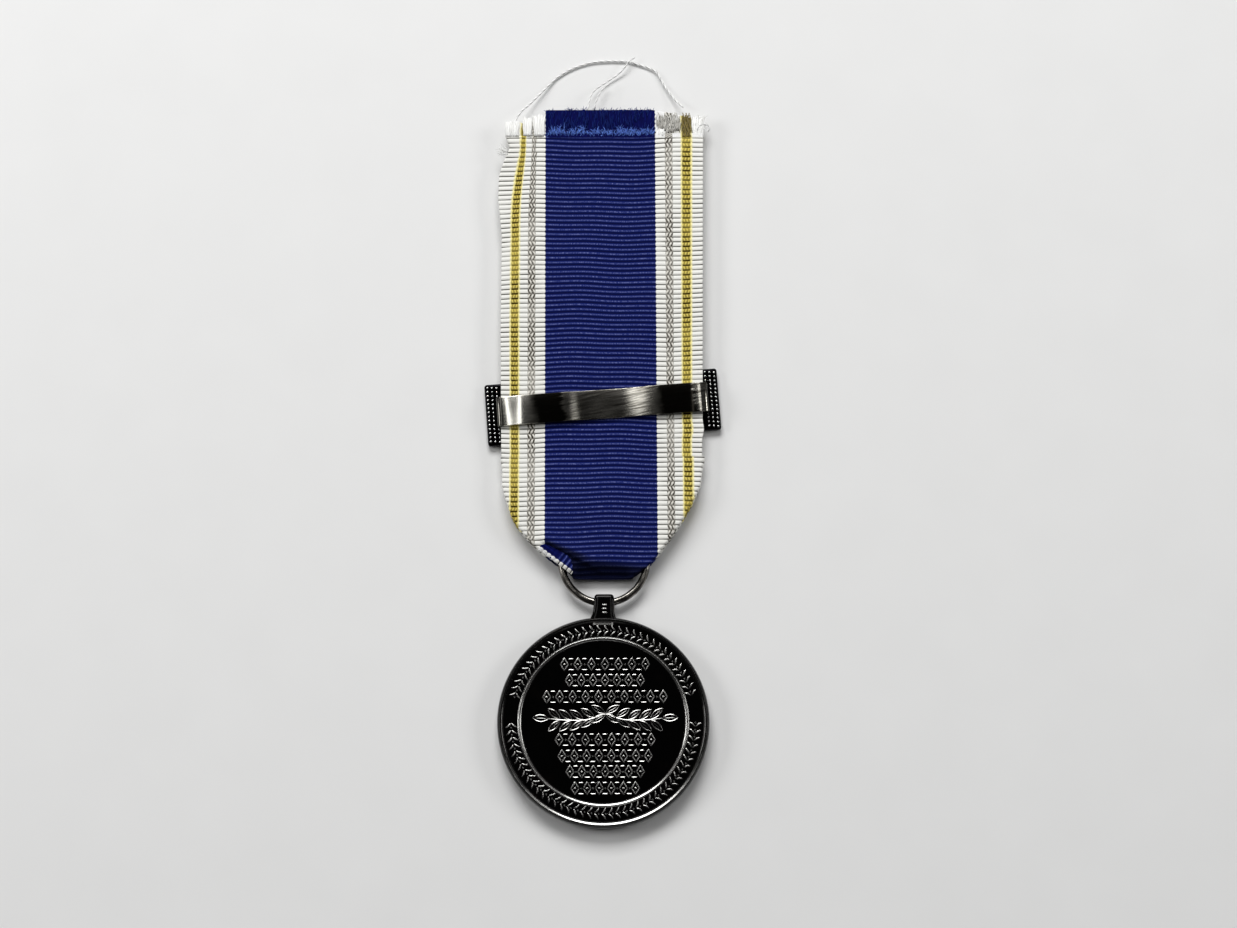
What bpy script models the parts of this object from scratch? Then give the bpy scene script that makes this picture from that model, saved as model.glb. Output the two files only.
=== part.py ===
"""Military service medal, lying on its obverse with the reverse face up.

A struck disc with a cross-drilled lug, a round suspension ring, a ribbon folded
through the ring, a two-piece clasp around the ribbon, and four loose threads.

Lengths are in metres. +X runs across the ribbon, +Y from the disc towards the
ribbon's cut ends, +Z up out of the disc's reverse face. Drawing lengths below
are measured from the disc's centre and moved to the frame's origin at the end.
"""

import math

import bmesh
import bpy
from mathutils import Matrix, Vector

MM = 0.001

# Disc
DISC_RADIUS = 18.0 * MM
DISC_THICKNESS = 3.0 * MM
RIM_BEVEL = 0.35 * MM
RIM_INNER_RADIUS = 17.1 * MM
FINE_RING_RADIUS = 17.35 * MM
BAND_FLOOR = 2.62 * MM
BAND_MIDDLE_RADIUS = 15.65 * MM
BAND_BAR_LENGTH = 1.9 * MM
INNER_RING_RADIUS = 14.15 * MM
INNER_RING_WIDTH = 0.6 * MM
INNER_RING_TOP = 2.9 * MM
FIELD_HEIGHT = 2.5 * MM
RELIEF_HEIGHT = 0.32 * MM
RELIEF_ROOT = 0.15 * MM
OBVERSE_FIELD = 0.5 * MM
OBVERSE_RELIEF = 0.3 * MM
OBVERSE_FIELD_RADIUS = 16.3 * MM
OBVERSE_RIM_INNER_RADIUS = 16.8 * MM

# Rounded outer shoulder of the rim: distance in from the edge and down from the top
RIM_SHOULDER = (
    (0.0, 0.8 * MM),
    (0.25 * MM, 0.4 * MM),
    (0.4 * MM, 0.12 * MM),
)

# Rows of raised grains on the reverse: middle height above the centre and width
GRAIN_ROWS = (
    (9.8 * MM, 15.0 * MM),
    (7.1 * MM, 13.4 * MM),
    (4.3 * MM, 21.0 * MM),
    (-3.1 * MM, 16.8 * MM),
    (-5.9 * MM, 15.8 * MM),
    (-8.5 * MM, 13.2 * MM),
    (-11.3 * MM, 11.4 * MM),
)
GRAIN_PITCH = 1.5 * MM
GRAIN_LENGTH = 2.1 * MM
GRAIN_WIDTH = 0.75 * MM

# Lug
LUG_HALF_WIDTH = 1.75 * MM
LUG_ROOT_HALF_WIDTH = 2.15 * MM
LUG_TOP = 22.05 * MM
LUG_THICKNESS = 2.5 * MM
LUG_HOLE_RADIUS = 0.85 * MM
LUG_TICKS = (18.85 * MM, 19.5 * MM, 20.1 * MM)

# Suspension ring, lying level in the middle of the disc's thickness
WIRE_RADIUS = 0.625 * MM
RING_RADIUS = 7.3 * MM
RING_CENTRE = 27.9 * MM
RING_HEIGHT = 1.5 * MM

# Ribbon
RIBBON_HALF_WIDTH = 17.4 * MM
RIBBON_THICKNESS = 0.4 * MM
RIBBON_FRONT_END = 109.7 * MM
RIBBON_BACK_END = 104.8 * MM
FRONT_HEIGHT = 1.7 * MM
BACK_HEIGHT = 2.35 * MM
FRONT_HEIGHT_AT_RING = 0.3 * MM
BACK_HEIGHT_AT_RING = 2.65 * MM
FOLD_CENTRE = 25.9 * MM
FOLD_HALF_WIDTH = 4.6 * MM

# Clasp, turned a little out of square on the ribbon
CLASP_CENTRE = 55.3 * MM
CLASP_TURN = math.radians(4.1)
BAR_LENGTH = 40.6 * MM
BAR_WIDTH = 11.0 * MM
BAR_THICKNESS = 1.2 * MM
BAR_BORDER = 1.5 * MM
BAR_RECESS = 0.3 * MM
STRAP_LENGTH = 36.8 * MM
STRAP_WIDTH = 5.2 * MM
STRAP_THICKNESS = 0.4 * MM
STRAP_TOP = 3.25 * MM
STRAP_FOOT = 1.5 * MM
STRAP_BEND = 0.7 * MM

# The frame's origin is under the middle of the medal, threads left out
FRAME_SHIFT = -(RIBBON_FRONT_END - DISC_RADIUS) / 2.0


def material(name, colour, metallic, roughness):
    """A plain material with the given colour and surface."""
    made = bpy.data.materials.new(name)
    made.use_nodes = True
    shader = made.node_tree.nodes["Principled BSDF"]
    shader.inputs["Base Color"].default_value = (*colour, 1.0)
    shader.inputs["Metallic"].default_value = metallic
    shader.inputs["Roughness"].default_value = roughness
    made.diffuse_color = (*colour, 1.0)
    return made


def solid(name, bm, surface=None, smooth=True):
    """Make an object of a bmesh, with its faces turned outwards."""
    bmesh.ops.recalc_face_normals(bm, faces=bm.faces)
    mesh = bpy.data.meshes.new(name)
    bm.to_mesh(mesh)
    bm.free()
    made = bpy.data.objects.new(name, mesh)
    bpy.context.scene.collection.objects.link(made)
    if surface is not None:
        mesh.materials.append(surface)
    if smooth:
        mesh.shade_smooth()
        mesh.set_sharp_from_angle(angle=math.radians(35.0))
    return made


def cutter(made):
    """Keep a cutting or joining shape out of the finished object."""
    made.hide_render = True
    made.display_type = "WIRE"
    return made


def combine(target, tool, operation):
    """Join or cut a target with a tool shape."""
    step = target.modifiers.new(operation.lower(), "BOOLEAN")
    step.operation = operation
    step.solver = "EXACT"
    step.object = cutter(tool)


def turned(profile, steps):
    """Turn a profile of (radius, height) points about the Z axis."""
    bm = bmesh.new()
    verts = [bm.verts.new((radius, 0.0, height)) for radius, height in profile]
    edges = [bm.edges.new(pair) for pair in zip(verts, verts[1:])]
    bmesh.ops.spin(
        bm,
        geom=verts + edges,
        cent=(0.0, 0.0, 0.0),
        axis=(0.0, 0.0, 1.0),
        angle=2.0 * math.pi,
        steps=steps,
    )
    bmesh.ops.remove_doubles(bm, verts=bm.verts, dist=0.001 * MM)
    return bm


def add_prism(bm, outline, low, high):
    """Raise a closed outline of (x, y) points into a prism."""
    base = [bm.verts.new((x, y, low)) for x, y in outline]
    face = bm.faces.new(base)
    raised = bmesh.ops.extrude_face_region(bm, geom=[face])
    top = [item for item in raised["geom"] if isinstance(item, bmesh.types.BMVert)]
    bmesh.ops.translate(bm, verts=top, vec=(0.0, 0.0, high - low))
    return top


def add_ridge(bm, place, length, width, low, high, shoulder=0.45):
    """A pointed grain or leaf along its own X, falling from a ridge to its sides."""
    half = length / 2.0
    wide = width / 2.0
    outline = (
        (-half, 0.0),
        (-0.45 * half, -wide),
        (0.45 * half, -wide),
        (half, 0.0),
        (0.45 * half, wide),
        (-0.45 * half, wide),
    )
    crest_height = high
    side_height = low + (high - low) * shoulder
    rings = []
    for height in (low, side_height):
        rings.append([bm.verts.new(place @ Vector((x, y, height))) for x, y in outline])
    tail = bm.verts.new(place @ Vector((-0.4 * half, 0.0, crest_height)))
    head = bm.verts.new(place @ Vector((0.4 * half, 0.0, crest_height)))
    floor, rim = rings
    bm.faces.new(floor)
    for index in range(6):
        after = (index + 1) % 6
        bm.faces.new((floor[index], floor[after], rim[after], rim[index]))
    bm.faces.new((rim[0], rim[1], tail))
    bm.faces.new((rim[1], rim[2], head, tail))
    bm.faces.new((rim[2], rim[3], head))
    bm.faces.new((rim[3], rim[4], head))
    bm.faces.new((rim[4], rim[5], tail, head))
    bm.faces.new((rim[5], rim[0], tail))


def placed(x, y, turn):
    """Turn about Z, then move to a place on the disc's face."""
    return Matrix.Translation((x, y, 0.0)) @ Matrix.Rotation(turn, 4, "Z")


def add_sprig(bm, side, low, high):
    """One laurel sprig running out from the middle of the reverse."""
    pairs = 4
    stem_start = 0.9 * MM
    stem_step = 2.35 * MM
    for index in range(pairs):
        along = stem_start + (index + 0.55) * stem_step
        for above in (1.0, -1.0):
            lean = side * above * math.radians(33.0)
            turn = lean if side > 0.0 else math.pi + lean
            shift = 0.95 * MM * above
            add_ridge(
                bm,
                placed(side * (along + 0.75 * MM), 0.55 * MM + shift, turn),
                2.5 * MM,
                0.95 * MM,
                low,
                high,
            )
    tip = stem_start + (pairs + 0.35) * stem_step
    turn = 0.0 if side > 0.0 else math.pi
    add_ridge(bm, placed(side * tip, 0.55 * MM, turn), 2.9 * MM, 1.15 * MM, low, high)


def reverse_relief():
    """Raised ornament of the reverse: grain rows, sprigs, band bars, lug ticks."""
    bm = bmesh.new()
    low = FIELD_HEIGHT - RELIEF_ROOT
    high = FIELD_HEIGHT + RELIEF_HEIGHT
    upright = math.pi / 2.0
    for middle, width in GRAIN_ROWS:
        count = int(round(width / GRAIN_PITCH))
        pitch = (width - GRAIN_WIDTH) / (count - 1)
        for index in range(count):
            x = (index - (count - 1) / 2.0) * pitch
            add_ridge(bm, placed(x, middle, upright), GRAIN_LENGTH, GRAIN_WIDTH, low, high)
    for side in (1.0, -1.0):
        add_sprig(bm, side, low, high)
    band_low = BAND_FLOOR - RELIEF_ROOT
    band_high = DISC_THICKNESS - 0.06 * MM
    arcs = (
        (math.radians(15.0), math.radians(165.0)),
        (math.radians(180.0), math.radians(360.0)),
    )
    for start, stop in arcs:
        count = int(round((stop - start) * BAND_MIDDLE_RADIUS / (1.55 * MM)))
        for index in range(count):
            angle = start + (stop - start) * (index + 0.5) / count
            x = BAND_MIDDLE_RADIUS * math.cos(angle)
            y = BAND_MIDDLE_RADIUS * math.sin(angle)
            add_ridge(bm, placed(x, y, angle), BAND_BAR_LENGTH, 0.7 * MM, band_low, band_high)
    lug_low = (DISC_THICKNESS + LUG_THICKNESS) / 2.0 - RELIEF_ROOT
    lug_high = lug_low + RELIEF_ROOT + 0.15 * MM
    for middle in LUG_TICKS:
        add_ridge(bm, placed(0.0, middle, 0.0), 1.6 * MM, 0.36 * MM, lug_low, lug_high)
    return solid("reverse_relief_cutter", bm)


def obverse_relief():
    """Raised ornament of the hidden face: a wreath of leaves around a plain star."""
    bm = bmesh.new()
    low = OBVERSE_FIELD - OBVERSE_RELIEF
    high = OBVERSE_FIELD + RELIEF_ROOT
    for index in range(24):
        side = 1.0 if index % 2 else -1.0
        angle = math.radians(-90.0 + side * (18.0 + 12.5 * (index // 2)))
        reach = 11.2 * MM
        x = reach * math.cos(angle)
        y = reach * math.sin(angle)
        turn = angle + side * math.radians(62.0)
        flip = Matrix.Diagonal((1.0, 1.0, -1.0, 1.0))
        place = placed(x, y, turn) @ flip
        add_ridge(bm, place, 3.0 * MM, 1.25 * MM, -high, -low)
    star = []
    for index in range(10):
        reach = 6.2 * MM if index % 2 == 0 else 2.5 * MM
        angle = math.radians(90.0 + 36.0 * index)
        star.append((reach * math.cos(angle), reach * math.sin(angle)))
    add_prism(bm, star, low, high)
    return solid("obverse_relief_cutter", bm, smooth=False)


def lug_body():
    """The lug as an upright tab that flares where it meets the disc."""
    corner = 0.45 * MM
    side = (
        (LUG_ROOT_HALF_WIDTH, 16.9 * MM),
        (LUG_ROOT_HALF_WIDTH, 18.0 * MM),
        (LUG_HALF_WIDTH + 0.1 * MM, 18.7 * MM),
        (LUG_HALF_WIDTH, 19.6 * MM),
        (LUG_HALF_WIDTH - 0.08 * MM, LUG_TOP - corner),
        (LUG_HALF_WIDTH - 0.2 * MM, LUG_TOP - 0.3 * corner),
        (LUG_HALF_WIDTH - corner, LUG_TOP),
    )
    outline = list(side) + [(-x, y) for x, y in reversed(side)]
    bm = bmesh.new()
    low = (DISC_THICKNESS - LUG_THICKNESS) / 2.0
    add_prism(bm, outline, low, low + LUG_THICKNESS)
    made = solid("lug_cutter", bm)
    soften = made.modifiers.new("soft_edges", "BEVEL")
    soften.width = 0.18 * MM
    soften.segments = 2
    soften.limit_method = "ANGLE"
    soften.angle_limit = math.radians(50.0)
    return made


def lug_hole():
    """The cross-drilled hole that the ring's wire passes through."""
    bm = bmesh.new()
    lie = Matrix.Translation((0.0, RING_CENTRE - RING_RADIUS, RING_HEIGHT))
    lie = lie @ Matrix.Rotation(math.pi / 2.0, 4, "Y")
    bmesh.ops.create_cone(
        bm,
        cap_ends=True,
        segments=32,
        radius1=LUG_HOLE_RADIUS,
        radius2=LUG_HOLE_RADIUS,
        depth=8.0 * MM,
        matrix=lie,
    )
    return solid("lug_hole_cutter", bm)


def medal_disc(surface):
    """The struck disc with raised rim and rings on both faces."""
    half_ring = INNER_RING_WIDTH / 2.0
    slope = 0.14 * MM
    top = DISC_THICKNESS
    profile = (
        (0.0, OBVERSE_FIELD),
        (OBVERSE_FIELD_RADIUS, OBVERSE_FIELD),
        (OBVERSE_RIM_INNER_RADIUS, 0.0),
        (DISC_RADIUS - RIM_BEVEL, 0.0),
        (DISC_RADIUS - 0.3 * RIM_BEVEL, 0.3 * RIM_BEVEL),
        (DISC_RADIUS, RIM_BEVEL),
        *((DISC_RADIUS - inward, top - down) for inward, down in RIM_SHOULDER),
        (FINE_RING_RADIUS + slope, top),
        (FINE_RING_RADIUS - slope, top),
        (RIM_INNER_RADIUS - slope, BAND_FLOOR),
        (INNER_RING_RADIUS + half_ring, BAND_FLOOR),
        (INNER_RING_RADIUS + half_ring - slope, INNER_RING_TOP),
        (INNER_RING_RADIUS - half_ring + slope, INNER_RING_TOP),
        (INNER_RING_RADIUS - half_ring, FIELD_HEIGHT),
        (0.0, FIELD_HEIGHT),
    )
    made = solid("medal_disc", turned(profile, 96), surface)
    combine(made, lug_body(), "UNION")
    combine(made, lug_hole(), "DIFFERENCE")
    combine(made, reverse_relief(), "UNION")
    combine(made, obverse_relief(), "UNION")
    return made


def suspension_ring(surface):
    """A closed round wire ring."""
    bm = bmesh.new()
    around = 60
    section = 12
    loops = []
    for index in range(around):
        angle = 2.0 * math.pi * index / around
        loop = []
        for step in range(section):
            turn = 2.0 * math.pi * step / section
            reach = RING_RADIUS + WIRE_RADIUS * math.cos(turn)
            height = RING_HEIGHT + WIRE_RADIUS * math.sin(turn)
            loop.append(bm.verts.new((reach * math.sin(angle), -reach * math.cos(angle), height)))
        loops.append(loop)
    for index in range(around):
        here = loops[index]
        after = loops[(index + 1) % around]
        for step in range(section):
            beside = (step + 1) % section
            bm.faces.new((here[step], here[beside], after[beside], after[step]))
    bmesh.ops.translate(bm, verts=bm.verts, vec=(0.0, RING_CENTRE, 0.0))
    return solid("suspension_ring", bm, surface)


def ease(low, high, value):
    """Smooth step from 0 at low to 1 at high."""
    share = min(max((value - low) / (high - low), 0.0), 1.0)
    return share * share * (3.0 - 2.0 * share)


def half_width_at(along):
    """Half the ribbon's width at a place along it, drawn in to a V at the ring."""
    stops = (
        (24.0 * MM, FOLD_HALF_WIDTH),
        (25.4 * MM, 4.9 * MM),
        (26.6 * MM, 7.4 * MM),
        (28.8 * MM, 9.7 * MM),
        (31.8 * MM, 12.1 * MM),
        (35.0 * MM, 14.6 * MM),
        (38.6 * MM, 16.2 * MM),
        (41.6 * MM, 17.0 * MM),
        (46.0 * MM, RIBBON_HALF_WIDTH),
    )
    if along <= stops[0][0]:
        return stops[0][1]
    for (start, narrow), (stop, wide) in zip(stops, stops[1:]):
        if along <= stop:
            return narrow + (wide - narrow) * (along - start) / (stop - start)
    return RIBBON_HALF_WIDTH


def ribbon(surface):
    """One woven strip: front layer, fold through the ring, back layer."""
    flat = [60.0 * MM, 48.0 * MM, 46.0 * MM, 43.5 * MM, 41.6 * MM, 40.0 * MM, 38.6 * MM]
    near_ring = [35.0 * MM, 31.8 * MM, 28.8 * MM, 26.6 * MM]
    path = [(RIBBON_FRONT_END, FRONT_HEIGHT), (85.0 * MM, FRONT_HEIGHT)]
    for along in flat + near_ring:
        share = ease(38.0 * MM, 46.5 * MM, along)
        height = FRONT_HEIGHT_AT_RING + (FRONT_HEIGHT - FRONT_HEIGHT_AT_RING) * share
        path.append((along, height))
    middle = (FRONT_HEIGHT_AT_RING + BACK_HEIGHT_AT_RING) / 2.0
    radius = (BACK_HEIGHT_AT_RING - FRONT_HEIGHT_AT_RING) / 2.0
    for step in range(9):
        turn = math.pi * step / 8.0
        path.append((FOLD_CENTRE - radius * math.sin(turn), middle - radius * math.cos(turn)))
    for along in reversed(flat + near_ring):
        share = ease(38.0 * MM, 46.5 * MM, along)
        height = BACK_HEIGHT_AT_RING + (BACK_HEIGHT - BACK_HEIGHT_AT_RING) * share
        path.append((along, height))
    path += [(85.0 * MM, BACK_HEIGHT), (RIBBON_BACK_END, BACK_HEIGHT)]
    bm = bmesh.new()
    sections = []
    for index, (along, height) in enumerate(path):
        before = path[max(index - 1, 0)]
        after = path[min(index + 1, len(path) - 1)]
        run = Vector((0.0, after[0] - before[0], after[1] - before[1])).normalized()
        across = Vector((0.0, -run.z, run.y)) * (RIBBON_THICKNESS / 2.0)
        centre = Vector((0.0, along, height))
        wide = half_width_at(along)
        corners = []
        for side, face in ((-1.0, -1.0), (1.0, -1.0), (1.0, 1.0), (-1.0, 1.0)):
            corners.append(bm.verts.new(centre + Vector((side * wide, 0.0, 0.0)) + across * face))
        sections.append(corners)
    bm.faces.new(sections[0])
    bm.faces.new(sections[-1])
    for here, after in zip(sections, sections[1:]):
        for corner in range(4):
            beside = (corner + 1) % 4
            bm.faces.new((here[corner], here[beside], after[beside], after[corner]))
    return solid("ribbon", bm, surface)


def clasp_place():
    """Where the clasp sits on the ribbon, and its turn."""
    return Matrix.Translation((0.0, CLASP_CENTRE, 0.0)) @ Matrix.Rotation(CLASP_TURN, 4, "Z")


def clasp_bar(surface):
    """Front plate of the clasp: a raised border around a sunk panel on the front."""
    bm = bmesh.new()
    half_x = BAR_LENGTH / 2.0
    half_y = BAR_WIDTH / 2.0
    outline = ((-half_x, -half_y), (half_x, -half_y), (half_x, half_y), (-half_x, half_y))
    add_prism(bm, outline, 0.0, BAR_THICKNESS)
    bm.faces.ensure_lookup_table()
    front = min(bm.faces, key=lambda face: face.calc_center_median().z)
    bmesh.ops.inset_region(bm, faces=[front], thickness=BAR_BORDER)
    bmesh.ops.inset_region(bm, faces=[front], thickness=0.25 * MM)
    bmesh.ops.translate(bm, verts=front.verts, vec=(0.0, 0.0, BAR_RECESS))
    bmesh.ops.transform(bm, matrix=clasp_place(), verts=bm.verts)
    made = solid("clasp_bar", bm, surface)
    soften = made.modifiers.new("soft_edges", "BEVEL")
    soften.width = 0.2 * MM
    soften.segments = 2
    soften.limit_method = "ANGLE"
    soften.angle_limit = math.radians(60.0)
    return made


def clasp_strap(surface):
    """Flat strap bent down at both ends to stand on the back of the bar."""
    half = STRAP_LENGTH / 2.0
    outer = [(half, STRAP_FOOT)]
    inner = [(half - STRAP_THICKNESS, STRAP_FOOT)]
    hub_x = half - STRAP_BEND
    hub_z = STRAP_TOP - STRAP_BEND
    for step in range(6):
        turn = math.pi / 2.0 * step / 5.0
        outer.append((hub_x + STRAP_BEND * math.cos(turn), hub_z + STRAP_BEND * math.sin(turn)))
        reach = STRAP_BEND - STRAP_THICKNESS
        inner.append((hub_x + reach * math.cos(turn), hub_z + reach * math.sin(turn)))
    right = outer
    left = [(-x, z) for x, z in reversed(outer)]
    under_left = [(-x, z) for x, z in inner]
    under_right = list(reversed(inner))
    outline = right + left + under_left + under_right
    bm = bmesh.new()
    front = [bm.verts.new((x, -STRAP_WIDTH / 2.0, z)) for x, z in outline]
    face = bm.faces.new(front)
    drawn = bmesh.ops.extrude_face_region(bm, geom=[face])
    back = [item for item in drawn["geom"] if isinstance(item, bmesh.types.BMVert)]
    bmesh.ops.translate(bm, verts=back, vec=(0.0, STRAP_WIDTH, 0.0))
    bmesh.ops.transform(bm, matrix=clasp_place(), verts=bm.verts)
    return solid("clasp_strap", bm, surface)


def through(points, count):
    """Even points along a smooth curve through hand-chosen route points."""
    route = [Vector(point) * MM for point in points]
    dense = []
    for index in range(len(route) - 1):
        first = route[max(index - 1, 0)]
        start = route[index]
        stop = route[index + 1]
        last = route[min(index + 2, len(route) - 1)]
        for step in range(20):
            t = step / 20.0
            dense.append(
                0.5
                * (
                    2.0 * start
                    + (stop - first) * t
                    + (2.0 * first - 5.0 * start + 4.0 * stop - last) * t * t
                    + (3.0 * start - first - 3.0 * stop + last) * t * t * t
                )
            )
    dense.append(route[-1])
    lengths = [0.0]
    for before, after in zip(dense, dense[1:]):
        lengths.append(lengths[-1] + (after - before).length)
    even = []
    index = 0
    for step in range(count):
        target = lengths[-1] * step / (count - 1)
        while index < len(dense) - 2 and lengths[index + 1] < target:
            index += 1
        span = lengths[index + 1] - lengths[index]
        even.append(dense[index].lerp(dense[index + 1], (target - lengths[index]) / span))
    return even


def thread(name, points, count, radius, surface):
    """A loose thread as a round tube along a smooth route."""
    curve = bpy.data.curves.new(name, "CURVE")
    curve.dimensions = "3D"
    curve.bevel_depth = radius
    curve.bevel_resolution = 2
    curve.use_fill_caps = True
    curve.materials.append(surface)
    spline = curve.splines.new("POLY")
    route = through(points, count)
    spline.points.add(len(route) - 1)
    for point, place in zip(spline.points, route):
        point.co = (place.x, place.y, place.z, 1.0)
        point.radius = 1.0
    made = bpy.data.objects.new(name, curve)
    bpy.context.scene.collection.objects.link(made)
    return made


THREAD_LOOP = (
    (-15.6, 105.5, 2.4),
    (-15.3, 107.3, 2.3),
    (-14.2, 109.2, 2.3),
    (-12.7, 111.0, 1.2),
    (-9.0, 115.2, 0.3),
    (-7.7, 116.4, 0.25),
    (-5.4, 117.8, 0.25),
    (-2.6, 118.8, 0.25),
    (-0.4, 119.15, 0.25),
    (2.3, 119.25, 0.25),
    (4.6, 119.1, 0.25),
    (6.9, 118.45, 0.25),
    (9.4, 117.4, 0.3),
    (10.4, 115.9, 0.35),
    (11.2, 114.4, 0.4),
    (12.9, 111.8, 0.8),
    (14.4, 110.3, 1.5),
)
THREAD_TAIL_LONG = (
    (-2.5, 110.1, 1.75),
    (-2.1, 111.8, 1.4),
    (-1.3, 113.5, 0.9),
    (0.7, 115.1, 0.5),
    (2.8, 116.55, 0.6),
    (4.0, 117.7, 0.9),
    (4.8, 118.9, 1.0),
    (5.95, 119.8, 0.7),
)
THREAD_TAIL_SHORT = (
    (-1.4, 110.1, 1.75),
    (-0.9, 111.4, 1.9),
    (-0.1, 113.2, 1.6),
    (1.3, 114.7, 1.2),
)
THREAD_EDGE_CURL = (
    (16.9, 105.4, 2.4),
    (17.2, 106.2, 2.35),
    (17.8, 106.6, 2.35),
    (18.6, 106.5, 2.3),
    (19.1, 105.9, 2.2),
    (18.8, 105.3, 2.1),
)


def pivot(name, place):
    """Put a moving piece's origin on its joint, leaving its shape where it is."""
    made = bpy.data.objects[name]
    made.data.transform(Matrix.Translation(-Vector(place)))
    made.location = place


def build():
    """Build every piece, then move the whole medal to the frame's origin."""
    for old in list(bpy.data.objects):
        bpy.data.objects.remove(old, do_unlink=True)
    dark_nickel = material("dark_nickel", (0.075, 0.07, 0.068), 1.0, 0.28)
    ring_nickel = material("ring_nickel", (0.30, 0.29, 0.28), 1.0, 0.25)
    bar_nickel = material("bar_nickel", (0.13, 0.13, 0.14), 1.0, 0.35)
    strap_nickel = material("strap_nickel", (0.52, 0.50, 0.46), 1.0, 0.32)
    woven = material("woven_ribbon", (0.10, 0.15, 0.55), 0.0, 0.75)
    white = material("white_thread", (0.82, 0.83, 0.84), 0.0, 0.8)
    medal_disc(dark_nickel)
    suspension_ring(ring_nickel)
    ribbon(woven)
    clasp_bar(bar_nickel)
    clasp_strap(strap_nickel)
    thread("thread_loop", THREAD_LOOP, 42, 0.17 * MM, white)
    thread("thread_tail_long", THREAD_TAIL_LONG, 16, 0.14 * MM, white)
    thread("thread_tail_short", THREAD_TAIL_SHORT, 9, 0.14 * MM, white)
    thread("thread_edge_curl", THREAD_EDGE_CURL, 8, 0.12 * MM, white)
    shift = Matrix.Translation((0.0, FRAME_SHIFT, 0.0))
    for made in bpy.data.objects:
        made.data.transform(shift)
    wire_in_lug = (0.0, RING_CENTRE - RING_RADIUS + FRAME_SHIFT, RING_HEIGHT)
    ring_middle = (0.0, RING_CENTRE + FRAME_SHIFT, RING_HEIGHT)
    clasp_middle = (0.0, CLASP_CENTRE + FRAME_SHIFT, BAR_THICKNESS)
    pivot("medal_disc", wire_in_lug)
    pivot("suspension_ring", ring_middle)
    pivot("clasp_bar", clasp_middle)
    pivot("clasp_strap", clasp_middle)


build()
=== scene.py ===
import math

import bmesh
import bpy
import numpy as np
from mathutils import Matrix, Vector


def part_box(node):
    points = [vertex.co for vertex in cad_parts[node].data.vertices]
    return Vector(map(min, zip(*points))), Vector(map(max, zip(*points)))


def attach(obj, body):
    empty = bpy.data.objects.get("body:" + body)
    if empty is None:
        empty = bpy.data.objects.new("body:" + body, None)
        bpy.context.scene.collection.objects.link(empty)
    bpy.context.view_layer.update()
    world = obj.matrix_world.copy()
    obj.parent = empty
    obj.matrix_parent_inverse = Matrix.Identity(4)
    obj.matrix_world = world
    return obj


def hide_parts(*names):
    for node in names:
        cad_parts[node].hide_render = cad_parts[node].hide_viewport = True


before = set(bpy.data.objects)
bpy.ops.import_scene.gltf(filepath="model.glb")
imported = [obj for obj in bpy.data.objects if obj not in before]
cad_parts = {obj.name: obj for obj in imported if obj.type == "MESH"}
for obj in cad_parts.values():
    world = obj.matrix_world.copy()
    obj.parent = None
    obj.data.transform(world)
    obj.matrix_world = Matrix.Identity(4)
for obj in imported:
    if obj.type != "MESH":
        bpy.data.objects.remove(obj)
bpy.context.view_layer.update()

# Lengths in the drawing are millimetres from the middle of the struck disc.
# `seat` carries them into the shared frame's metres.

DISC_LOW, DISC_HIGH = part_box("medal_disc")
MM = 0.001
DISC_RADIUS = (DISC_HIGH.x - DISC_LOW.x) / 2.0 / MM
DISC_THICK = DISC_HIGH.z / MM
HOME = np.array((0.0, DISC_LOW.y / MM + DISC_RADIUS, 0.0))
RING_LOW, RING_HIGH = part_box("suspension_ring")
RING_CENTRE = (RING_LOW.y + RING_HIGH.y) / 2.0 / MM - HOME[1]
WIRE = (RING_HIGH.z - RING_LOW.z) / 2.0 / MM
RING_RADIUS = (RING_HIGH.x - RING_LOW.x) / 2.0 / MM - WIRE
RING_HEIGHT = (RING_HIGH.z + RING_LOW.z) / 2.0 / MM
STRAP_LOW, STRAP_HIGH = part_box("clasp_strap")
CLASP_CENTRE = (STRAP_LOW.y + STRAP_HIGH.y) / 2.0 / MM - HOME[1]
STRAP_TOP = STRAP_HIGH.z / MM
CLASP_TURN = math.radians(4.1)
RIB = 0.862


def seat(points):
    """Drawing millimetres to metres in the shared frame."""
    return (np.asarray(points, float) + HOME) * MM


# ---------------------------------------------------------------- camera

CAMERA_TILT = math.radians(13.0)
CAMERA_ROLL = math.radians(-0.2)
CAMERA_PLACE = (2.725, -74.755, 520.34)
SENSOR_WIDTH = 36.0
FOCAL_LENGTH = 89.57801


def set_camera():
    """A long lens, a little towards the disc's end, looking down on the medal."""
    eye = seat(CAMERA_PLACE)
    look = Vector((0.0, math.sin(CAMERA_TILT), -math.cos(CAMERA_TILT)))
    right = Vector((1.0, 0.0, 0.0))
    up = Vector((0.0, math.cos(CAMERA_TILT), math.sin(CAMERA_TILT)))
    side = right * math.cos(CAMERA_ROLL) + up * math.sin(CAMERA_ROLL)
    top = up * math.cos(CAMERA_ROLL) - right * math.sin(CAMERA_ROLL)
    data = bpy.data.cameras.new("table_camera")
    data.sensor_width = SENSOR_WIDTH
    data.lens = FOCAL_LENGTH
    data.clip_start = 0.01
    data.clip_end = 20.0
    camera = bpy.data.objects.new("table_camera", data)
    turn = Matrix((side, top, -look)).transposed().to_4x4()
    camera.matrix_world = Matrix.Translation(Vector(eye)) @ turn
    bpy.context.scene.collection.objects.link(camera)
    bpy.context.scene.camera = camera


# The pleat's crease across the layer that shows: its ends, how far along the cloth
# it starts past the fold, and the cosines that turn cloth marks square to it
CREASE_FROM = np.array((-11.2, 31.6))
CREASE_TO = np.array((-2.0, 26.7))
CREASE_ABOVE = 7.1
CREASE_COSINES = (0.47, 0.883)


# ---------------------------------------------------------------- finishes


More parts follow.
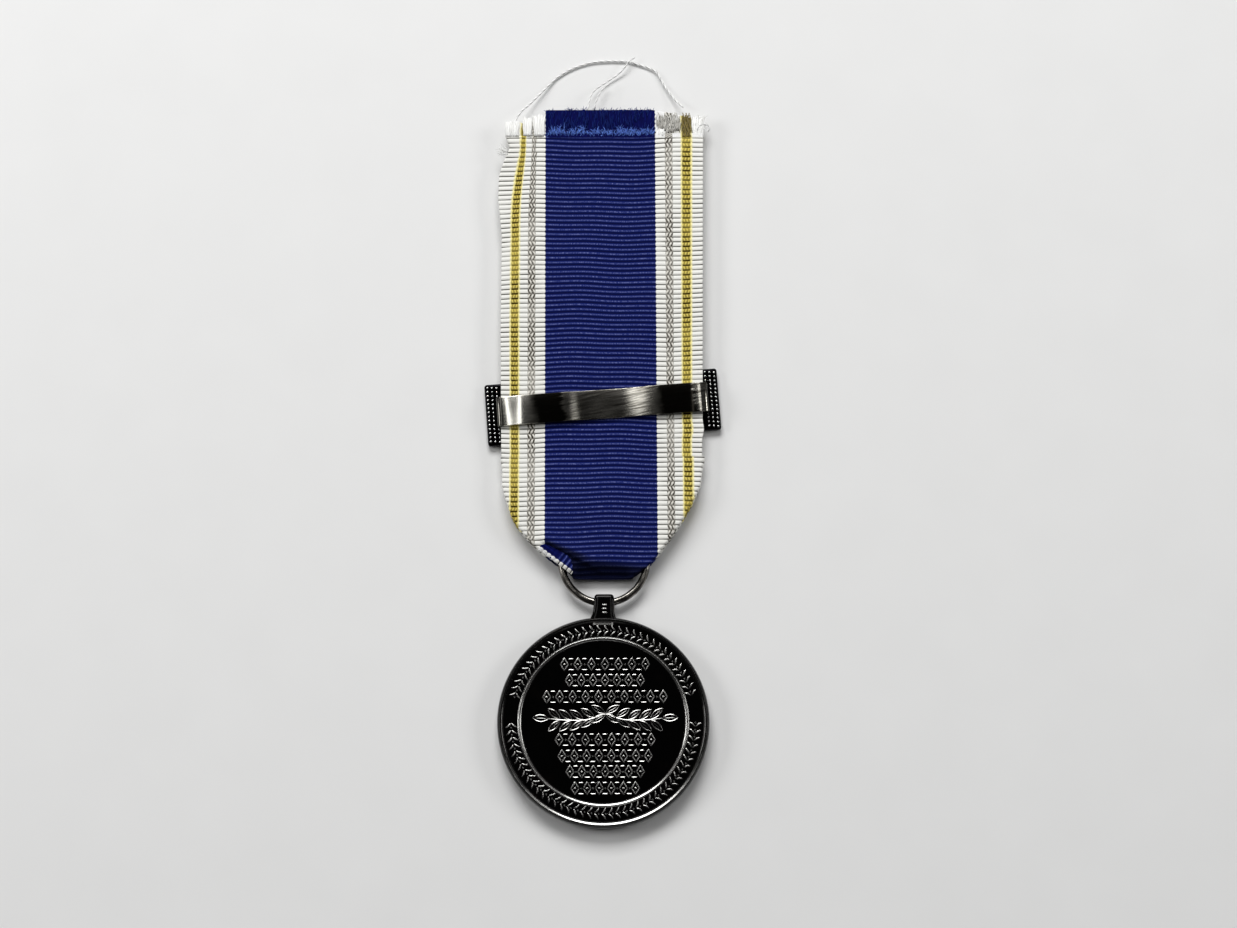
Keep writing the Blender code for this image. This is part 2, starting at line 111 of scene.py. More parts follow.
class Value:
    """A shader socket that can be summed, scaled and compared like a number."""

    def __init__(self, finish, socket):
        self.finish = finish
        self.socket = socket

    def maths(self, operation, *others):
        inputs = dict(enumerate((self, *others)))
        made = self.finish.node("ShaderNodeMath", {"operation": operation}, inputs)
        return self.finish.value(made, 0)

    def __add__(self, other):
        return self.maths("ADD", other)

    def __radd__(self, other):
        return self.maths("ADD", other)

    def __sub__(self, other):
        return self.maths("SUBTRACT", other)

    def __rsub__(self, other):
        return (self * -1.0) + other

    def __mul__(self, other):
        return self.maths("MULTIPLY", other)

    def __rmul__(self, other):
        return self.maths("MULTIPLY", other)

    def __truediv__(self, other):
        return self.maths("DIVIDE", other)

    def __pow__(self, other):
        return self.maths("POWER", other)

    def whole(self):
        return self.maths("FLOOR")

    def part(self):
        return self.maths("FRACT")

    def wave(self):
        return self.maths("SINE")

    def size(self):
        return self.maths("ABSOLUTE")

    def most(self, other):
        return self.maths("MAXIMUM", other)

    def eased(self, low, high):
        """0 at low, 1 at high, smooth between."""
        settings = {"interpolation_type": "SMOOTHSTEP", "clamp": True}
        inputs = {"Value": self, "From Min": low, "From Max": high, "To Min": 0.0, "To Max": 1.0}
        made = self.finish.node("ShaderNodeMapRange", settings, inputs)
        return self.finish.value(made, "Result")


class Finish:
    """A surface finish whose nodes are laid one by one."""

    def __init__(self, name):
        self.material = bpy.data.materials.new(name)
        self.material.use_nodes = True
        self.nodes = self.material.node_tree.nodes
        self.links = self.material.node_tree.links
        self.shader = self.nodes["Principled BSDF"]

    def node(self, kind, settings=None, sockets=None):
        """Lay one node: its settings first, then values or links into its sockets."""
        made = self.nodes.new(kind)
        for name, setting in (settings or {}).items():
            setattr(made, name, setting)
        for name, given in (sockets or {}).items():
            self.feed(made.inputs[name], given)
        return made

    def feed(self, socket, given):
        if isinstance(given, Value):
            self.links.new(given.socket, socket)
        elif isinstance(given, tuple) and len(given) == 3 and socket.type == "RGBA":
            socket.default_value = (*given, 1.0)
        else:
            socket.default_value = given

    def value(self, made, output):
        return Value(self, made.outputs[output])

    def set(self, **sockets):
        """Values or links for the surface's own sockets."""
        for name, given in sockets.items():
            self.feed(self.shader.inputs[name.replace("_", " ")], given)

    def blend(self, first, second, share):
        """One colour into another."""
        settings = {"data_type": "RGBA", "clamp_factor": True}
        made = self.node("ShaderNodeMix", settings, {0: share, 6: first, 7: second})
        return self.value(made, 2)

    def cloth_marks(self):
        """Millimetres across and along the cloth, from its own marks."""
        marks = self.node("ShaderNodeUVMap", {"uv_map": "cloth"})
        parts = self.node("ShaderNodeSeparateXYZ", None, {0: self.value(marks, "UV")})
        return self.value(parts, "X"), self.value(parts, "Y")

    def solid_marks(self):
        """Millimetres through the solid along X, Y and Z."""
        place = self.node("ShaderNodeTexCoord")
        parts = self.node("ShaderNodeSeparateXYZ", None, {0: self.value(place, "Object")})
        return [self.value(parts, axis) * 1000.0 for axis in "XYZ"]

    def speckle(self, x, y, z=0.0, detail=2.0, rough=0.5):
        """Soft noise over scaled marks, about 0.5 in the middle."""
        spot = self.node("ShaderNodeCombineXYZ", None, {"X": x, "Y": y, "Z": z})
        inputs = {"Vector": self.value(spot, 0), "Scale": 1.0, "Detail": detail, "Roughness": rough}
        made = self.node("ShaderNodeTexNoise", {"noise_dimensions": "3D"}, inputs)
        return self.value(made, 0)

    def relief(self, height, depth, strength=1.0):
        """Small bumps of the given depth in millimetres, fed to Normal."""
        inputs = {"Height": height, "Distance": depth * MM, "Strength": strength}
        made = self.node("ShaderNodeBump", None, inputs)
        self.set(Normal=self.value(made, 0))


# Where the ribbon's colours change, out from its middle
BLUE_HALF = 9.75
WHITE_INNER = 11.35
SILVER_EDGE = 12.8
WHITE_MIDDLE = 14.2
GOLD_EDGE = 15.85
CLOTH_HALF = 17.6


def woven_cloth(front_fray, back_fray):
    """Ribbed ribbon: blue, white, silver-grey, white, gold, white out to each side."""
    cloth = Finish("woven_ribbon_cloth")
    across, along = cloth.cloth_marks()
    out = across.size()
    course = along / RIB
    phase = course.part()
    crest = (phase * math.pi).wave()
    odd = (course.whole() * 0.5).part() * 2.0
    slant = (odd - 0.5) * (phase - 0.5)
    unwoven = (along.eased(front_fray, front_fray - 0.6)).most(
        along.eased(back_fray, back_fray + 0.5)
    )
    woven = 1.0 - unwoven

    fleck = cloth.speckle(across * 4.2, along * 2.1, detail=3.0, rough=0.7)
    fine = cloth.speckle(across * 9.0, along * 7.0, 3.0, detail=2.0, rough=0.6)
    broad = cloth.speckle(across * 0.18, along * 0.13, 7.0, detail=1.0)
    strands = cloth.speckle(across * 6.0, along * 0.35, 5.0, detail=2.0)
    wear = broad.eased(0.32, 0.62)

    # Blue field: painted shade deepens the blue in each rib's valley, and a painted sheen highlight lies
    # as pale flecks along the crown of each rib
    crown = crest.eased(0.86, 0.995) * woven
    glint = (fleck.eased(0.40, 0.70) * 0.65 + fine.eased(0.45, 0.7) * 0.45) * crown
    deep = cloth.blend((0.0003, 0.0018, 0.040), (0.0045, 0.0120, 0.115), crest.eased(0.30, 0.95))
    loose = cloth.blend((0.0002, 0.0010, 0.045), (0.0015, 0.0050, 0.10), strands.eased(0.40, 0.75))
    blue = cloth.blend(deep, (0.17, 0.20, 0.46), glint)
    blue = cloth.blend(blue, loose, unwoven)

    # Deep shade, set by place on the cloth and not by the light: where the strip turns
    # through the ring, and in the pleat's crease
    above = (along - FOLD_MARK).size()
    turned = 1.0 - (above + across * 0.10 + fine * 0.8).eased(2.7, 4.4)
    slope = (across - CREASE_FROM[0]) * CREASE_COSINES[0]
    slope = slope + (above - CREASE_ABOVE) * CREASE_COSINES[1]
    past = (slope + fine * 0.4 - across * 0.10).eased(1.5, 2.4)
    crease = (slope + fine * 0.5).eased(-1.3, -0.7) * (1.0 - past)
    crease = crease * across.eased(-10.4, -9.2) * (1.0 - across.eased(-4.5, 0.5))
    crease = crease * along.eased(FOLD_MARK, FOLD_MARK + 0.3)
    shade = turned.most(crease) * 0.88
    blue = cloth.blend(blue, (0.0002, 0.0007, 0.0075), shade)

    # White grounds: painted shade greys the rib valleys, patchy by noise, and a painted highlight lightens
    # each crest
    gap = (1.0 - crest.eased(0.10, 0.55)) * woven
    valley_shade = gap * (wear * 0.6 + fine * 0.6 + 0.36)
    white = cloth.blend((0.80, 0.795, 0.75), (0.055, 0.052, 0.045), valley_shade)
    white = cloth.blend(white, (0.92, 0.92, 0.88), crest.eased(0.88, 1.0) * 0.5)
    white = cloth.blend(white, (0.84, 0.84, 0.83), unwoven)

    # Dark metal dashes that lean one way on one rib and the other way on the next
    wander = fleck * 0.5 - 0.25
    gold_step = ((out - GOLD_EDGE) / 0.50 + odd * 0.5 + slant * 0.9 + wander).part()
    gold_dash = gold_step.eased(0.22, 0.42) * (1.0 - gold_step.eased(0.80, 0.97))
    gold_heart = (out + wander * 0.4).eased(WHITE_MIDDLE + 0.05, WHITE_MIDDLE + 0.25) * (
        1.0 - (out + wander * 0.4).eased(GOLD_EDGE - 0.30, GOLD_EDGE - 0.08)
    )
    # Painted shade: the rib valleys of the gold and silver stripes are darkened toward the dash colour
    trough = (1.0 - crest.eased(0.30, 0.85)) * woven
    gold_dash = (gold_dash * 0.6).most(trough) * gold_heart * (wear * 0.30 + 0.78)
    gold = cloth.blend((0.84, 0.76, 0.34), (0.66, 0.51, 0.070), gold_heart * fine.eased(0.2, 0.6))
    gold = cloth.blend(gold, (0.034, 0.022, 0.0005), gold_dash)
    gold = cloth.blend(gold, (0.12, 0.09, 0.015), unwoven * gold_heart * 0.8)
    silver_step = ((out - SILVER_EDGE) / 0.62 + odd * 0.5 + slant * 1.2 + wander * 1.4).part()
    silver_dash = silver_step.eased(0.30, 0.46) * (1.0 - silver_step.eased(0.78, 0.95))
    silver_dash = (silver_dash * fleck.eased(0.30, 0.44)).most(trough * 0.62) * (wear * 0.3 + 0.7)
    silver = cloth.blend((0.70, 0.68, 0.62), (0.040, 0.033, 0.022), silver_dash)

    # The seams between colours bow outwards on every crest
    bow = crest * 0.16 + fine * 0.12 - 0.12
    colour = cloth.blend(white, blue, 1.0 - (out + bow).eased(BLUE_HALF - 0.03, BLUE_HALF + 0.05))
    frayed = out + wander * 0.5
    silver_band = frayed.eased(WHITE_INNER, WHITE_INNER + 0.12) * (
        1.0 - frayed.eased(SILVER_EDGE - 0.12, SILVER_EDGE)
    )
    colour = cloth.blend(colour, silver, silver_band)
    gold_band = frayed.eased(WHITE_MIDDLE - 0.25, WHITE_MIDDLE + 0.1) * (
        1.0 - frayed.eased(GOLD_EDGE - 0.1, GOLD_EDGE + 0.25)
    )
    colour = cloth.blend(colour, gold, gold_band)
    cloth.set(Base_Color=colour, Roughness=0.85 - glint * 0.2, Specular_IOR_Level=0.08)
    cloth.relief(fleck * 0.7 + fine * 0.3 + unwoven * strands * 2.0, 0.05, 0.7)
    return cloth.material


def yarn_fibre(name, dark, light, shine=0.35):
    """Loose yarn whose strands differ a little from one another."""
    yarn = Finish(name)
    lot, along = yarn.cloth_marks()
    streak = yarn.speckle(lot * 7.0, along * 1.7, detail=1.0)
    tone = lot.part() * 0.7 + streak * 0.3
    yarn.set(
        Base_Color=yarn.blend(dark, light, tone.eased(0.25, 0.85)),
        Roughness=0.7 - streak * 0.15,
        Specular_IOR_Level=shine,
    )
    yarn.relief(streak, 0.01, 0.4)
    return yarn.material


def twisted_thread():
    """White sewing thread, its plies wound round one another."""
    thread = Finish("white_cotton_thread")
    around, along = thread.cloth_marks()
    ply = ((around * (2.0 * math.pi)) + along * 5.2).wave() * 0.5 + 0.5
    fluff = thread.speckle(around * 5.0, along * 6.0, detail=2.0)
    # Painted shade: darker where the plies meet, lighter on their crowns
    colour = thread.blend((0.50, 0.50, 0.49), (0.88, 0.88, 0.87), ply.eased(0.1, 0.7))
    colour = thread.blend(colour, (0.70, 0.71, 0.71), fluff.eased(0.5, 0.8) * 0.5)
    thread.set(Base_Color=colour, Roughness=0.75 - fluff * 0.15, Specular_IOR_Level=0.25)
    thread.relief(ply + fluff * 0.4, 0.04, 0.9)
    return thread.material


def blackened_nickel():
    """Black-plated struck metal, rubbed brighter wherever the striking stands proud."""
    metal = Finish("blackened_nickel_struck")
    x, y, z = metal.solid_marks()
    up = y - float(HOME[1])
    reach = (x * x + up * up) ** 0.5
    bloom = metal.speckle(x * 0.35, y * 0.35, z * 0.5, detail=3.0)
    grain = metal.speckle(x * 9.0, y * 9.0, z * 9.0, detail=3.0, rough=0.65)
    scratch = metal.speckle(x * 1.2 + y * 9.0, y * 1.3 - x * 6.0, z * 2.0, detail=4.0)
    in_band = reach.eased(14.44, 14.55)
    on_rim = reach.eased(16.9, 17.1)
    past_crest = reach.eased(17.55, 17.65)
    floor = in_band * (BAND - FIELD) + (FIELD - DISC_THICK / 2.0)
    proud = ((z - DISC_THICK / 2.0).size() - floor).eased(0.02, 0.09)
    ticks = (z - 2.78).eased(0.0, 0.03) * reach.eased(18.0, 18.2)
    rubbed = proud * (bloom.eased(0.2, 0.7) * 0.4 + 0.6) * (1.0 - past_crest * 0.96)
    # Away from its foot the rim is kept dark by place, as if it mirrored an unlit room
    foot = (up * -1.0).eased(3.0, 13.0)
    rubbed = rubbed * (1.0 - on_rim * (1.0 - foot) * 0.82)
    rubbed = rubbed.most(ticks)
    colour = metal.blend((0.012, 0.0118, 0.0115), (0.40, 0.395, 0.38), rubbed)
    colour = metal.blend(colour, (0.060, 0.042, 0.032), bloom.eased(0.55, 0.8) * 0.2)
    rough = 0.10 + grain * 0.05 + scratch.eased(0.6, 0.75) * 0.05 + rubbed * 0.11
    metal.set(Base_Color=colour, Metallic=1.0, Roughness=rough)
    metal.relief(grain * 0.6 + scratch.eased(0.55, 0.8) * 0.5, 0.0009, 0.5)
    return metal.material


def polished_wire():
    """Drawn nickel wire with fine die lines round the ring."""
    metal = Finish("drawn_nickel_wire")
    around, along = metal.cloth_marks()
    lines = metal.speckle(around * 26.0, along * 0.12, detail=3.0, rough=0.6)
    stain = metal.speckle(around * 2.0, along * 0.5, 4.0, detail=3.0)
    colour = metal.blend((0.27, 0.255, 0.23), (0.035, 0.033, 0.03), stain.eased(0.38, 0.62) * 0.9)
    colour = metal.blend(colour, (0.10, 0.092, 0.08), lines.eased(0.5, 0.7) * 0.5)
    metal.set(Base_Color=colour, Metallic=1.0, Roughness=0.16 + lines * 0.12)
    metal.relief(lines, 0.002, 0.5)
    return metal.material


def beaded_nickel():
    """Dark plated bar, brighter on the tops of its beads."""
    metal = Finish("dark_beaded_nickel")
    x, y, z = metal.solid_marks()
    mist = metal.speckle(x * 0.6, y * 0.6, z, detail=3.0)
    grain = metal.speckle(x * 7.0, y * 7.0, z * 7.0, detail=3.0)
    top = z.eased(1.22, 1.30).most(1.0 - z.eased(0.0, 0.12))
    colour = metal.blend((0.0045, 0.0045, 0.005), (0.62, 0.62, 0.62), top)
    colour = metal.blend(colour, (0.014, 0.014, 0.015), mist.eased(0.5, 0.8) * 0.3)
    metal.set(Base_Color=colour, Metallic=1.0, Roughness=0.10 + grain * 0.06)
    metal.relief(grain, 0.0007, 0.6)
    return metal.material


def brushed_nickel():
    """Plated strap brushed along its length.

    Its dark zones are painted by place, as if it mirrored an unlit room, and a bright zone near its left
    end is painted as if it mirrored a lamp; no light moves them.
    """
    metal = Finish("brushed_nickel_strap")
    across, along = metal.cloth_marks()
    lean = across - along * 0.16
    fine = metal.speckle(lean * 11.0, along * 0.30, detail=4.0, rough=0.65)
    broad = metal.speckle(lean * 3.2, along * 0.22, 3.0, detail=3.0)
    cloud = metal.speckle(across * 0.5, along * 0.45, 9.0, detail=2.0)
    brush = fine * 0.55 + broad * 0.45
    place = along + cloud * 1.6 - 0.8 + across * 0.12 + (broad - 0.5) * 2.6
    # Painted reflection: zones along the strap set dark by place, as if they mirrored an unlit room
    left = place.eased(-13.2, -11.0) * (1.0 - place.eased(-7.3, -6.0))
    right = place.eased(8.8, 10.4) * (1.0 - place.eased(15.8, 16.6))
    middle = place.eased(-7.2, -6.2) * (1.0 - place.eased(0.0, 6.0)) * 0.62
    curl = (1.0 - along.eased(-17.5, -17.2)).most(along.eased(17.9, 18.2)) * 0.9
    painted_dark_reflection = left.most(right).most(middle).most(curl)
    colour = metal.blend((0.11, 0.102, 0.085), (0.54, 0.52, 0.465), brush.eased(0.38, 0.62))
    # Painted reflection: a bright zone near the left end, as if it mirrored a lamp
    colour = metal.blend(colour, (0.90, 0.88, 0.80), (1.0 - along.eased(-14.6, -12.0)) * 0.75)
    colour = metal.blend(colour, (0.008, 0.007, 0.0055), painted_dark_reflection * 0.985)
    metal.set(Base_Color=colour, Metallic=1.0, Roughness=0.11 + fine * 0.07)
    metal.relief(brush, 0.0011, 0.6)
    return metal.material


# ---------------------------------------------------------------- forms


class Form:
    """Points, faces and marks gathered into one mesh."""

    def __init__(self):
        self.points = []
        self.faces = []
        self.marks = []
        self.count = 0

    def add(self, points, faces, marks=None):
        points = np.asarray(points, float).reshape(-1, 3)
        if marks is None:
            marks = np.zeros((len(points), 2))
        self.points.append(points)
        self.marks.append(np.asarray(marks, float).reshape(-1, 2))
        self.faces += [tuple(int(i) + self.count for i in face) for face in faces]
        self.count += len(points)

    def net(self, rows, marks=None, join_rows=False, join_columns=False, caps=False):
        """A net of points, rows by columns, joined round either way if asked."""
        rows = np.asarray(rows, float)
        high, wide = rows.shape[:2]
        ids = np.arange(high * wide).reshape(high, wide)
        down = np.vstack((ids, ids[:1])) if join_rows else ids
        both = np.hstack((down, down[:, :1])) if join_columns else down
        quads = np.stack((both[:-1, :-1], both[:-1, 1:], both[1:, 1:], both[1:, :-1]), -1)
        faces = [tuple(quad) for quad in quads.reshape(-1, 4)]
        if caps:
            faces.append(tuple(ids[0][::-1]))
            faces.append(tuple(ids[-1]))
        self.add(rows.reshape(-1, 3), faces, marks)

    def tube(self, route, radius, sides=8, flat=1.0, lot=0.0, joined=False):
        """A round or flattened rod along a route, thinner where its radius says."""
        route = np.asarray(route, float)
        count = len(route)
        radius = np.broadcast_to(np.asarray(radius, float), (count,))
        before = np.roll(route, 1, 0) if joined else np.vstack((route[:1], route[:-1]))
        after = np.roll(route, -1, 0) if joined else np.vstack((route[1:], route[-1:]))
        run = after - before
        run /= np.linalg.norm(run, axis=1)[:, None] + 1e-12
        side = np.cross(np.array((0.0, 0.0, 1.0)), run)
        weak = np.linalg.norm(side, axis=1) < 0.05
        side[weak] = np.cross(np.array((0.0, 1.0, 0.0)), run[weak])
        side /= np.linalg.norm(side, axis=1)[:, None] + 1e-12
        rise = np.cross(run, side)
        turn = np.linspace(0.0, 2.0 * math.pi, sides, endpoint=False)
        ring = side[:, None] * np.cos(turn)[None, :, None]
        ring = ring + rise[:, None] * (np.sin(turn) * flat)[None, :, None]
        rows = route[:, None] + ring * radius[:, None, None]
        steps = np.linalg.norm(np.diff(route, axis=0), axis=1)
        length = np.concatenate(((0.0,), np.cumsum(steps)))
        around = np.abs(np.linspace(-1.0, 1.0, sides, endpoint=False))
        marks = np.stack(np.broadcast_arrays(around[None] + lot, length[:, None]), -1)
        self.net(rows, marks, join_rows=joined, join_columns=True, caps=not joined)

    def dome(self, centre, radius, rise, sides=7, steps=3):
        """A small bead sitting on a face; a negative rise hangs below it."""
        rows = []
        for step in range(steps):
            turn = math.pi / 2.0 * step / steps - 0.35 * (step == 0)
            angles = np.linspace(0.0, 2.0 * math.pi, sides, endpoint=False)
            reach = radius * math.cos(turn)
            row = np.stack(
                (np.cos(angles) * reach, np.sin(angles) * reach, angles * 0.0 + math.sin(turn) * rise),
                -1,
            )
            rows.append(row + np.asarray(centre))
        if rise < 0.0:
            rows = [row[::-1] for row in rows]
        self.net(rows, join_columns=True, caps=True)

    def closed_sheet(self, top, under, marks):
        """Two faces of one sheet, joined along their sides and across both ends."""
        rows = np.concatenate((top, under[:, ::-1]), axis=1)
        both = np.concatenate((marks, marks[:, ::-1]), axis=1)
        high, wide = rows.shape[:2]
        self.net(rows, both.reshape(-1, 2), join_columns=True)
        for start, flip in ((0, False), ((high - 1) * wide, True)):
            for k in range(wide // 2 - 1):
                quad = (start + k, start + k + 1, start + wide - 2 - k, start + wide - 1 - k)
                self.faces.append(quad[::-1] if flip else quad)

    def take(self, made):
        """The finished shape of another object, which is then cleared away."""
        graph = bpy.context.evaluated_depsgraph_get()
        held = made.evaluated_get(graph)
        mesh = held.to_mesh()
        points = np.array([v.co for v in mesh.vertices])
        faces = [tuple(p.vertices) for p in mesh.polygons]
        self.add(points, faces)
        held.to_mesh_clear()
        bpy.data.objects.remove(made, do_unlink=True)

    def piece(self, name, finish, body, node=None, crease=None):
        """Make the object, mark it up and set it riding on its body."""
        mesh = bpy.data.meshes.new(name)
        points = seat(np.vstack(self.points))
        mesh.from_pydata(points.tolist(), [], self.faces)
        marks = np.vstack(self.marks)
        layer = mesh.uv_layers.new(name="cloth")
        corners = np.zeros(len(mesh.loops), int)
        mesh.loops.foreach_get("vertex_index", corners)
        layer.data.foreach_set("uv", marks[corners].astype(np.float32).ravel())
        mesh.materials.append(finish)
        mesh.validate()
        tidy = bmesh.new()
        tidy.from_mesh(mesh)
        bmesh.ops.recalc_face_normals(tidy, faces=tidy.faces)
        tidy.to_mesh(mesh)
        tidy.free()
        mesh.shade_smooth()
        if crease is not None:
            mesh.set_sharp_from_angle(angle=math.radians(crease))
        made = bpy.data.objects.new(name, mesh)
        bpy.context.scene.collection.objects.link(made)
        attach(made, body)
        if node is not None:
            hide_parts(node)
        return made


def ease(low, high, value):
    """Smooth step from 0 at low to 1 at high, either way round."""
    share = np.clip((np.asarray(value, float) - low) / (high - low), 0.0, 1.0)
    return share * share * (3.0 - 2.0 * share)


def smooth_route(stops, spacing):
    """Even points on a smooth line through given stops."""
    stops = np.asarray(stops, float)
    padded = np.vstack((2 * stops[0] - stops[1], stops, 2 * stops[-1] - stops[-2]))
    dense = []
    for index in range(1, len(padded) - 2):
        a, b, c, d = padded[index - 1 : index + 3]
        t = np.linspace(0.0, 1.0, 24, endpoint=False)[:, None]
        dense.append(
            0.5
            * (2 * b + (c - a) * t + (2 * a - 5 * b + 4 * c - d) * t**2 + (3 * b - a - 3 * c + d) * t**3)
        )
    dense = np.vstack((*dense, stops[-1:]))
    steps = np.linalg.norm(np.diff(dense, axis=0), axis=1)
    length = np.concatenate(((0.0,), np.cumsum(steps)))
    count = max(3, int(round(length[-1] / spacing)) + 1)
    marks = np.linspace(0.0, length[-1], count)
    return np.stack([np.interp(marks, length, dense[:, axis]) for axis in range(3)], -1)


# ---------------------------------------------------------------- loose threads

LOOP_STOPS = (
    (-15.6, 105.5, 2.75),
    (-15.3, 107.3, 2.6),
    (-14.2, 109.2, 2.3),
    (-12.7, 111.0, 1.2),
    (-9.0, 115.2, 0.3),
    (-7.7, 116.4, 0.25),
    (-5.4, 117.8, 0.25),
    (-2.6, 118.8, 0.25),
    (-0.4, 119.15, 0.25),
    (2.3, 119.25, 0.25),
    (4.6, 119.1, 0.25),
    (6.9, 118.45, 0.25),
    (9.4, 117.4, 0.3),
    (10.4, 115.9, 0.35),
    (11.2, 114.4, 0.4),
    (12.9, 111.8, 0.8),
    (14.4, 110.0, 1.6),
)
LONG_TAIL_STOPS = (
    (-2.5, 109.4, 2.0),
    (-2.1, 111.8, 1.5),
    (-1.3, 113.5, 0.9),
    (0.7, 115.1, 0.5),
    (2.8, 116.55, 0.6),
    (4.0, 117.7, 0.9),
    (4.8, 118.9, 1.0),
    (5.95, 119.8, 0.7),
)
SHORT_TAIL_STOPS = (
    (-1.5, 109.4, 2.0),
    (-0.9, 111.4, 1.9),
    (-0.1, 113.2, 1.6),
    (1.3, 114.7, 1.2),
)
EDGE_CURL_STOPS = (
    (16.9, 105.4, 2.6),
    (17.2, 106.2, 2.5),
    (17.8, 106.6, 2.45),
    (18.6, 106.5, 2.35),
    (19.1, 105.9, 2.2),
    (18.8, 105.3, 2.1),
)


def lay_threads():
    """The loose threads at the cut end, the long loop among them."""
    cotton = twisted_thread()
    for name, node, stops, radius in (
        ("loose_thread_loop", "thread_loop", LOOP_STOPS, 0.17),
        ("loose_tail_long", "thread_tail_long", LONG_TAIL_STOPS, 0.13),
        ("loose_tail_short", "thread_tail_short", SHORT_TAIL_STOPS, 0.13),
        ("loose_edge_curl", "thread_edge_curl", EDGE_CURL_STOPS, 0.11),
    ):
        route = smooth_route(stops, 0.45)
        share = np.linspace(0.0, 1.0, len(route))
        taper = np.interp(share, (0.0, 0.03, 0.97, 1.0), (0.8, 1.0, 1.0, 0.7))
        strand = Form()
        strand.tube(route, radius * taper, sides=10)
        made = strand.piece(name, cotton, "ribbon", node)


# ---------------------------------------------------------------- ribbon

# Half the cloth's thickness in a valley, how far its stripes lie to the left, a rib's
# rise on each face, and the radius of a side's turn
THICK = 0.085
STRIPE_SHIFT = -0.3
RIB_RISE = 0.14
TURN = 0.26

# Where the folded sides run in to the ring: distance up the ribbon, half width
LEFT_EDGE = np.array(
    (
        (24.0, 4.6), (25.3, 4.7), (26.1, 5.7), (27.05, 7.2), (28.9, 9.6), (31.0, 11.95),
        (33.6, 14.1), (35.8, 15.4), (39.4, 16.75), (41.8, 17.35), (48.6, 17.55), (68.9, 17.75),
        (86.0, 17.62), (92.6, 18.3), (97.0, 18.2), (99.6, 17.35), (102.2, 16.1), (103.6, 16.7),
        (105.8, 17.1), (108.6, 16.7),
    )
)
RIGHT_EDGE = np.array(
    (
        (24.0, 4.8), (25.3, 5.5), (26.1, 6.9), (27.0, 8.1), (28.65, 9.5), (32.0, 12.0),
        (34.5, 13.7), (37.75, 15.5), (41.0, 16.8), (45.0, 17.2), (49.3, 17.25), (50.8, 17.6),
        (52.6, 17.35), (68.7, 17.5), (92.5, 17.75), (104.0, 17.9), (108.6, 17.8),
    )
)


def edge_reach(edge, up):
    """Smoothed half width of the ribbon at a place up its length."""
    spread = np.linspace(-0.5, 0.5, 5)
    return np.mean([np.interp(up + s, edge[:, 0], edge[:, 1]) for s in spread], axis=0)


FRONT_END = 109.5
BACK_END = 108.7
END_ZONE = 104.0
FRONT_FRAY_FROM = 105.4
BACK_FRAY_FROM = 104.55
BACK_RIBS_END = 104.2
FADE = 0.5
LAYERS_CLOSE = (38.0, 46.5)
SIDES_OPEN = (42.0, 46.5)
SIDE_FROM = 12.0
SIDE_WIDTH = 5.6
FOLD_CENTRE = 27.3
FOLD_MIDDLE = 1.475
FOLD_RADIUS = 1.175
FOLD_REACH = 2.4


def ribbon_path():
    """Centre line of the strip: front layer, fold through the ring, back layer."""
    up = np.arange(FRONT_END, FOLD_CENTRE, -0.05)
    low = 0.30 + 1.40 * ease(*LAYERS_CLOSE, up)
    front = np.stack((up, low), -1)
    turn = np.linspace(0.0, math.pi, 60)
    fold = np.stack(
        (FOLD_CENTRE - FOLD_REACH * np.sin(turn), FOLD_MIDDLE - FOLD_RADIUS * np.cos(turn)), -1
    )
    up = np.arange(FOLD_CENTRE + 0.05, BACK_END, 0.05)
    high = 2.65 - 0.30 * ease(*LAYERS_CLOSE, up)
    high = high + 0.10 * np.sin((up - 27.0) / 5.0) * ease(27.0, 31.0, up) * (1 - ease(40.0, 45.0, up))
    back = np.stack((up, high), -1)
    return np.vstack((front, fold, back))


PATH = ribbon_path()
PATH_LENGTH = np.concatenate(((0.0,), np.cumsum(np.linalg.norm(np.diff(PATH, axis=0), axis=1))))
FOLD_MARK = float(PATH_LENGTH[int(np.argmin(PATH[:, 0]))])
FRONT_FRAY = float(np.interp(-FRONT_FRAY_FROM, -PATH[:200, 0], PATH_LENGTH[:200]))
BACK_FRAY = float(PATH_LENGTH[-1] - (BACK_END - BACK_FRAY_FROM))


def back_end_at(across):
    """How far up the back layer reaches, by place across the cloth."""
    stops = (-17.6, -16.2, -15.7, -14.3, -13.9, -13.0, -12.3, -11.6, -11.2, -10.0, -9.7, -9.5, 17.6)
    reach = (106.9, 107.4, 106.7, 106.6, 107.7, 108.1, 106.4, 106.4, 108.5, 108.6, 107.6, 104.9, 104.9)
    return np.interp(across, stops, reach)


def front_end_at(across):
    """How far up the front layer reaches."""
    stops = (-17.6, -9.8, -9.6, 9.6, 9.9, 12.5, 14.2, 16.0, 17.6)
    reach = (106.5, 107.2, 109.5, 109.5, 109.3, 108.9, 108.4, 107.9, 107.0)
    return np.interp(across, stops, reach)


def rib_wave(across, mark):
    """Slow sideways wander of the ribs, as a shift along the cloth."""
    return 0.16 * np.sin(across * 0.21 + mark * 0.045) + 0.07 * np.sin(across * 0.55 - mark * 0.09)


def crest_of(mark):
    """Height of the rib at a mark along the cloth, 0 in the valley and 1 on the crest."""
    return np.abs(np.sin(np.pi * mark / RIB)) ** 0.75


